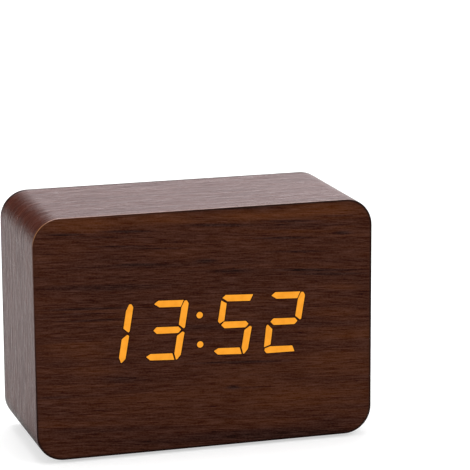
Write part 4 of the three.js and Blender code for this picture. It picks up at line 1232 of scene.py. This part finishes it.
def build_jack(plastic, steel):
    """The power jack: its block, the nose with a rounded lip, the lined bore and the pin."""
    block = []
    for a, b in circle_points(1.0, JACK_SIDES):
        share = 1 / max(abs(a), abs(b))
        block.append((JACK_HALF_X * a * share, JACK_HALF_Z * b * share))
    rings = [[(JACK_X + a, y, CONTROL_Z + b) for a, b in block] for y in (JACK_FRONT_Y, JACK_SHOULDER_Y)]
    for y, radius, _ in JACK_PROFILE:
        rings.append([(JACK_X + a, y, CONTROL_Z + b) for a, b in circle_points(radius, JACK_SIDES)])
    kinds = [0, 0] + [kind for _, _, kind in JACK_PROFILE] + [1]
    jack = skinned("power_jack_lined", [rings], [plastic, steel], kinds)
    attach(jack, "root")
    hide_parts("power_jack")


def build_feet(material):
    """Rubber feet with a rounded rim and a shallow dish underneath."""
    for name in ("foot_rear_left", "foot_rear_right", "foot_front_left", "foot_front_right"):
        low, high = box_in_mm(name)
        middle = (low + high) / 2
        rings = [
            [(middle.x + a, middle.y + b, z) for a, b in circle_points(radius, FOOT_SIDES)]
            for z, radius in FOOT_PROFILE
        ]
        foot = skinned(f"{name}_dished", [rings], [material])
        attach(foot, "root")
        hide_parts(name)


def build_solder(material):
    """Domes of solder where the leads meet their contacts and the board."""
    domes = []
    for sign, tag_z in LEAD_TAGS:
        on_tag = []
        on_board = []
        for along, radius in SOLDER_PROFILE:
            circle = circle_points(radius, SOLDER_SIDES)
            x = sign * (TAG_INNER_X - along)
            y = BOARD_FRONT_Y - along
            on_tag.append([(x, LEAD_Y + a, tag_z + b) for a, b in circle])
            on_board.append([(sign * LEAD_BOARD_X + a, y, LEAD_BOARD_Z + b) for a, b in circle])
        domes += [on_tag, on_board]
    solder = skinned("solder", domes, [material])
    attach(solder, "root")


def bar(width, height, x=0.0, z=0.0):
    """A rectangle's corners around a place."""
    return [(x + a * width / 2, z + b * height / 2) for a, b in ((-1, -1), (1, -1), (1, 1), (-1, 1))]


def build_marks(material):
    """Printed signs on the cover: dot, arrows, the slide's two ends and direct current."""
    dot = circle_points(MARK_DOT_RADIUS, MARK_DOT_SIDES)
    marks = [
        (BUTTON_PLACES["set"], dot),
        (BUTTON_PLACES["up"], MARK_ARROW),
        (BUTTON_PLACES["down"], [(-a, -b) for a, b in MARK_ARROW]),
        (SWITCH_X + SWITCH_MARKS_APART, bar(MARK_LINE, 2 * MARK_DOT_RADIUS)),
        (SWITCH_X - SWITCH_MARKS_APART, dot),
        (JACK_X, bar(DIRECT_CURRENT_LENGTH, MARK_LINE, 0.0, DIRECT_CURRENT_RISE)),
    ]
    dash = (DIRECT_CURRENT_LENGTH - 2 * DIRECT_CURRENT_GAP) / 3
    for place in (-1, 0, 1):
        outline = bar(dash, MARK_LINE, place * (dash + DIRECT_CURRENT_GAP), -DIRECT_CURRENT_RISE)
        marks.append((JACK_X, outline))
    heights = (COVER_Y - MARK_SUNK, COVER_Y + MARK_RAISED)
    stacks = [[[(x + a, y, MARK_Z + b) for a, b in outline] for y in heights] for x, outline in marks]
    printed = skinned("cover_marks", stacks, [material])
    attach(printed, "root")


def soften_edges(node):
    """Breaks the sharp edges of a solid with a fine bevel."""
    weld = node.modifiers.new("joined", "WELD")
    weld.merge_threshold = EDGE_JOINED_WITHIN
    bevel = node.modifiers.new("broken_edges", "BEVEL")
    bevel.width = EDGE_BEVEL
    bevel.segments = EDGE_BEVEL_STEPS
    bevel.limit_method = "ANGLE"
    bevel.angle_limit = EDGE_BEVEL_ANGLE
    bevel.harden_normals = True


# Stage, light and camera


def build_stage():
    """A pale floor that keeps the clock's shadow."""
    corners = [(a * FLOOR_HALF, b * FLOOR_HALF, 0.0) for a, b in ((-1, -1), (1, -1), (1, 1), (-1, 1))]
    graph = new_graph("pale_floor")
    paths = graph.node("LightPath").outputs
    seen = graph.math("MAXIMUM", paths["Is Camera Ray"], paths["Is Transmission Ray"])
    away = graph.vector_math("LENGTH", graph.place(), output="Value")
    # Painted shade: no glow in the floor's mirror image close to the clock
    seen = graph.math("MULTIPLY_ADD", paths["Is Glossy Ray"], graph.reach(away, *FLOOR_MIRRORED), seen)
    strength = graph.math("MULTIPLY", seen, graph.reach(away, *FLOOR_LIGHT))
    diffuse = graph.node("BsdfDiffuse", {"Color": (0.55, 0.55, 0.55)}).outputs[0]
    white = graph.node("Emission", {"Color": (1.0, 1.0, 1.0), "Strength": strength}).outputs[0]
    both = graph.node("AddShader", {0: diffuse, 1: white}).outputs[0]
    graph.node("OutputMaterial", {"Surface": both})
    mesh = mesh_of("floor", corners, [(0, 1, 2, 3)], [graph.material], smooth=False)
    new_object("floor", mesh)


def build_world():
    """A white room, whose mirror image is faintly rosy, bright to the right and dark to the left."""
    world = bpy.data.worlds.new("studio")
    bpy.context.scene.world = world
    world.use_nodes = True
    graph = Graph(world.node_tree)
    paths = graph.node("LightPath").outputs
    sideways = graph.axes(graph.node("TexCoord").outputs["Generated"])["X"]
    rosy = graph.math("ADD", *(graph.reach(sideways, *rise) for rise in ROOM_MIRRORED))
    looks = (((1.0, 1.0, 1.0), 0.55), ((1.0, 0.943, 0.967), rosy), ((1.0, 1.0, 1.0), 1.0))
    ambient, mirrored, seen = (
        graph.node("Background", {"Color": colour, "Strength": strength}).outputs[0]
        for colour, strength in looks
    )
    first = graph.node("MixShader", {0: paths["Is Glossy Ray"], 1: ambient, 2: mirrored}).outputs[0]
    clear = graph.math("MAXIMUM", paths["Is Camera Ray"], paths["Is Transmission Ray"])
    second = graph.node("MixShader", {0: clear, 1: first, 2: seen}).outputs[0]
    graph.node("OutputWorld", {"Surface": second})


def build_lamp(name, place, size, power, mirrored):
    data = bpy.data.lights.new(name, "AREA")
    data.shape = "DISK"
    data.size = size
    data.energy = power
    lamp = new_object(name, data)
    lamp.location = place
    aim = Vector((0, 0, MIDDLE_Z)) - Vector(place)
    lamp.rotation_mode = "QUATERNION"
    lamp.rotation_quaternion = aim.to_track_quat("-Z", "Y")
    lamp.visible_glossy = mirrored


def build_camera():
    data = bpy.data.cameras.new("camera")
    data.lens = CAMERA_LENS
    data.sensor_width = CAMERA_SENSOR
    data.clip_start = CAMERA_NEAREST
    data.clip_end = CAMERA_FARTHEST
    camera = new_object("camera", data)
    axes = Matrix((CAMERA_RIGHT, -CAMERA_DOWN, -CAMERA_AHEAD)).transposed()
    camera.matrix_world = Matrix.Translation(CAMERA_PLACE) @ axes.to_4x4()
    bpy.context.scene.camera = camera


bpy.context.scene.view_settings.view_transform = "Standard"
build_camera()
build_stage()
build_world()
for lamp_look in LAMPS:
    build_lamp(*lamp_look)

side_film = wrap_finish()
lit_parts = lit_outlines()
film = build_front_film(lit_parts, [face_film(), film_edge(), side_film])
segments = build_lit_segments(lit_parts, lit_segment_finish())
wrap = build_wrap_film(side_film, cut_edge_and_rear_shade())
for piece, node in ((film, "front_film"), (wrap, "wrap_film")):
    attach(piece, "root")
    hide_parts(node)
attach(segments, "root")

finishes = {"lit_orange": lit_diffuser()}
for make, name, *look in FINISHES:
    finishes[name] = make(name, *look)

build_springs(finishes["steel"])
build_ribbon(finishes["grey_insulation"], finishes["red_insulation"])
build_leads(finishes["black_insulation"], finishes["red_insulation"])
build_cells(finishes["cell_sleeve"], finishes["steel"], finishes["band"])
build_buttons(finishes["key_plastic"])
build_knob(finishes["key_plastic"])
build_jack(finishes["black_plastic"], finishes["steel"])
build_feet(finishes["black_rubber"])
build_solder(finishes["steel"])
build_marks(finishes["white_print"])

slot_of = {entry["node"]: entry["material_slot"] for entry in frame["record"]["subparts"]}
for name, node in frame["nodes"].items():
    finish = finishes.get(slot_of.get(name))
    if finish:
        for slot in node.material_slots:
            slot.material = finish
    if name in SOFTENED:
        soften_edges(node)
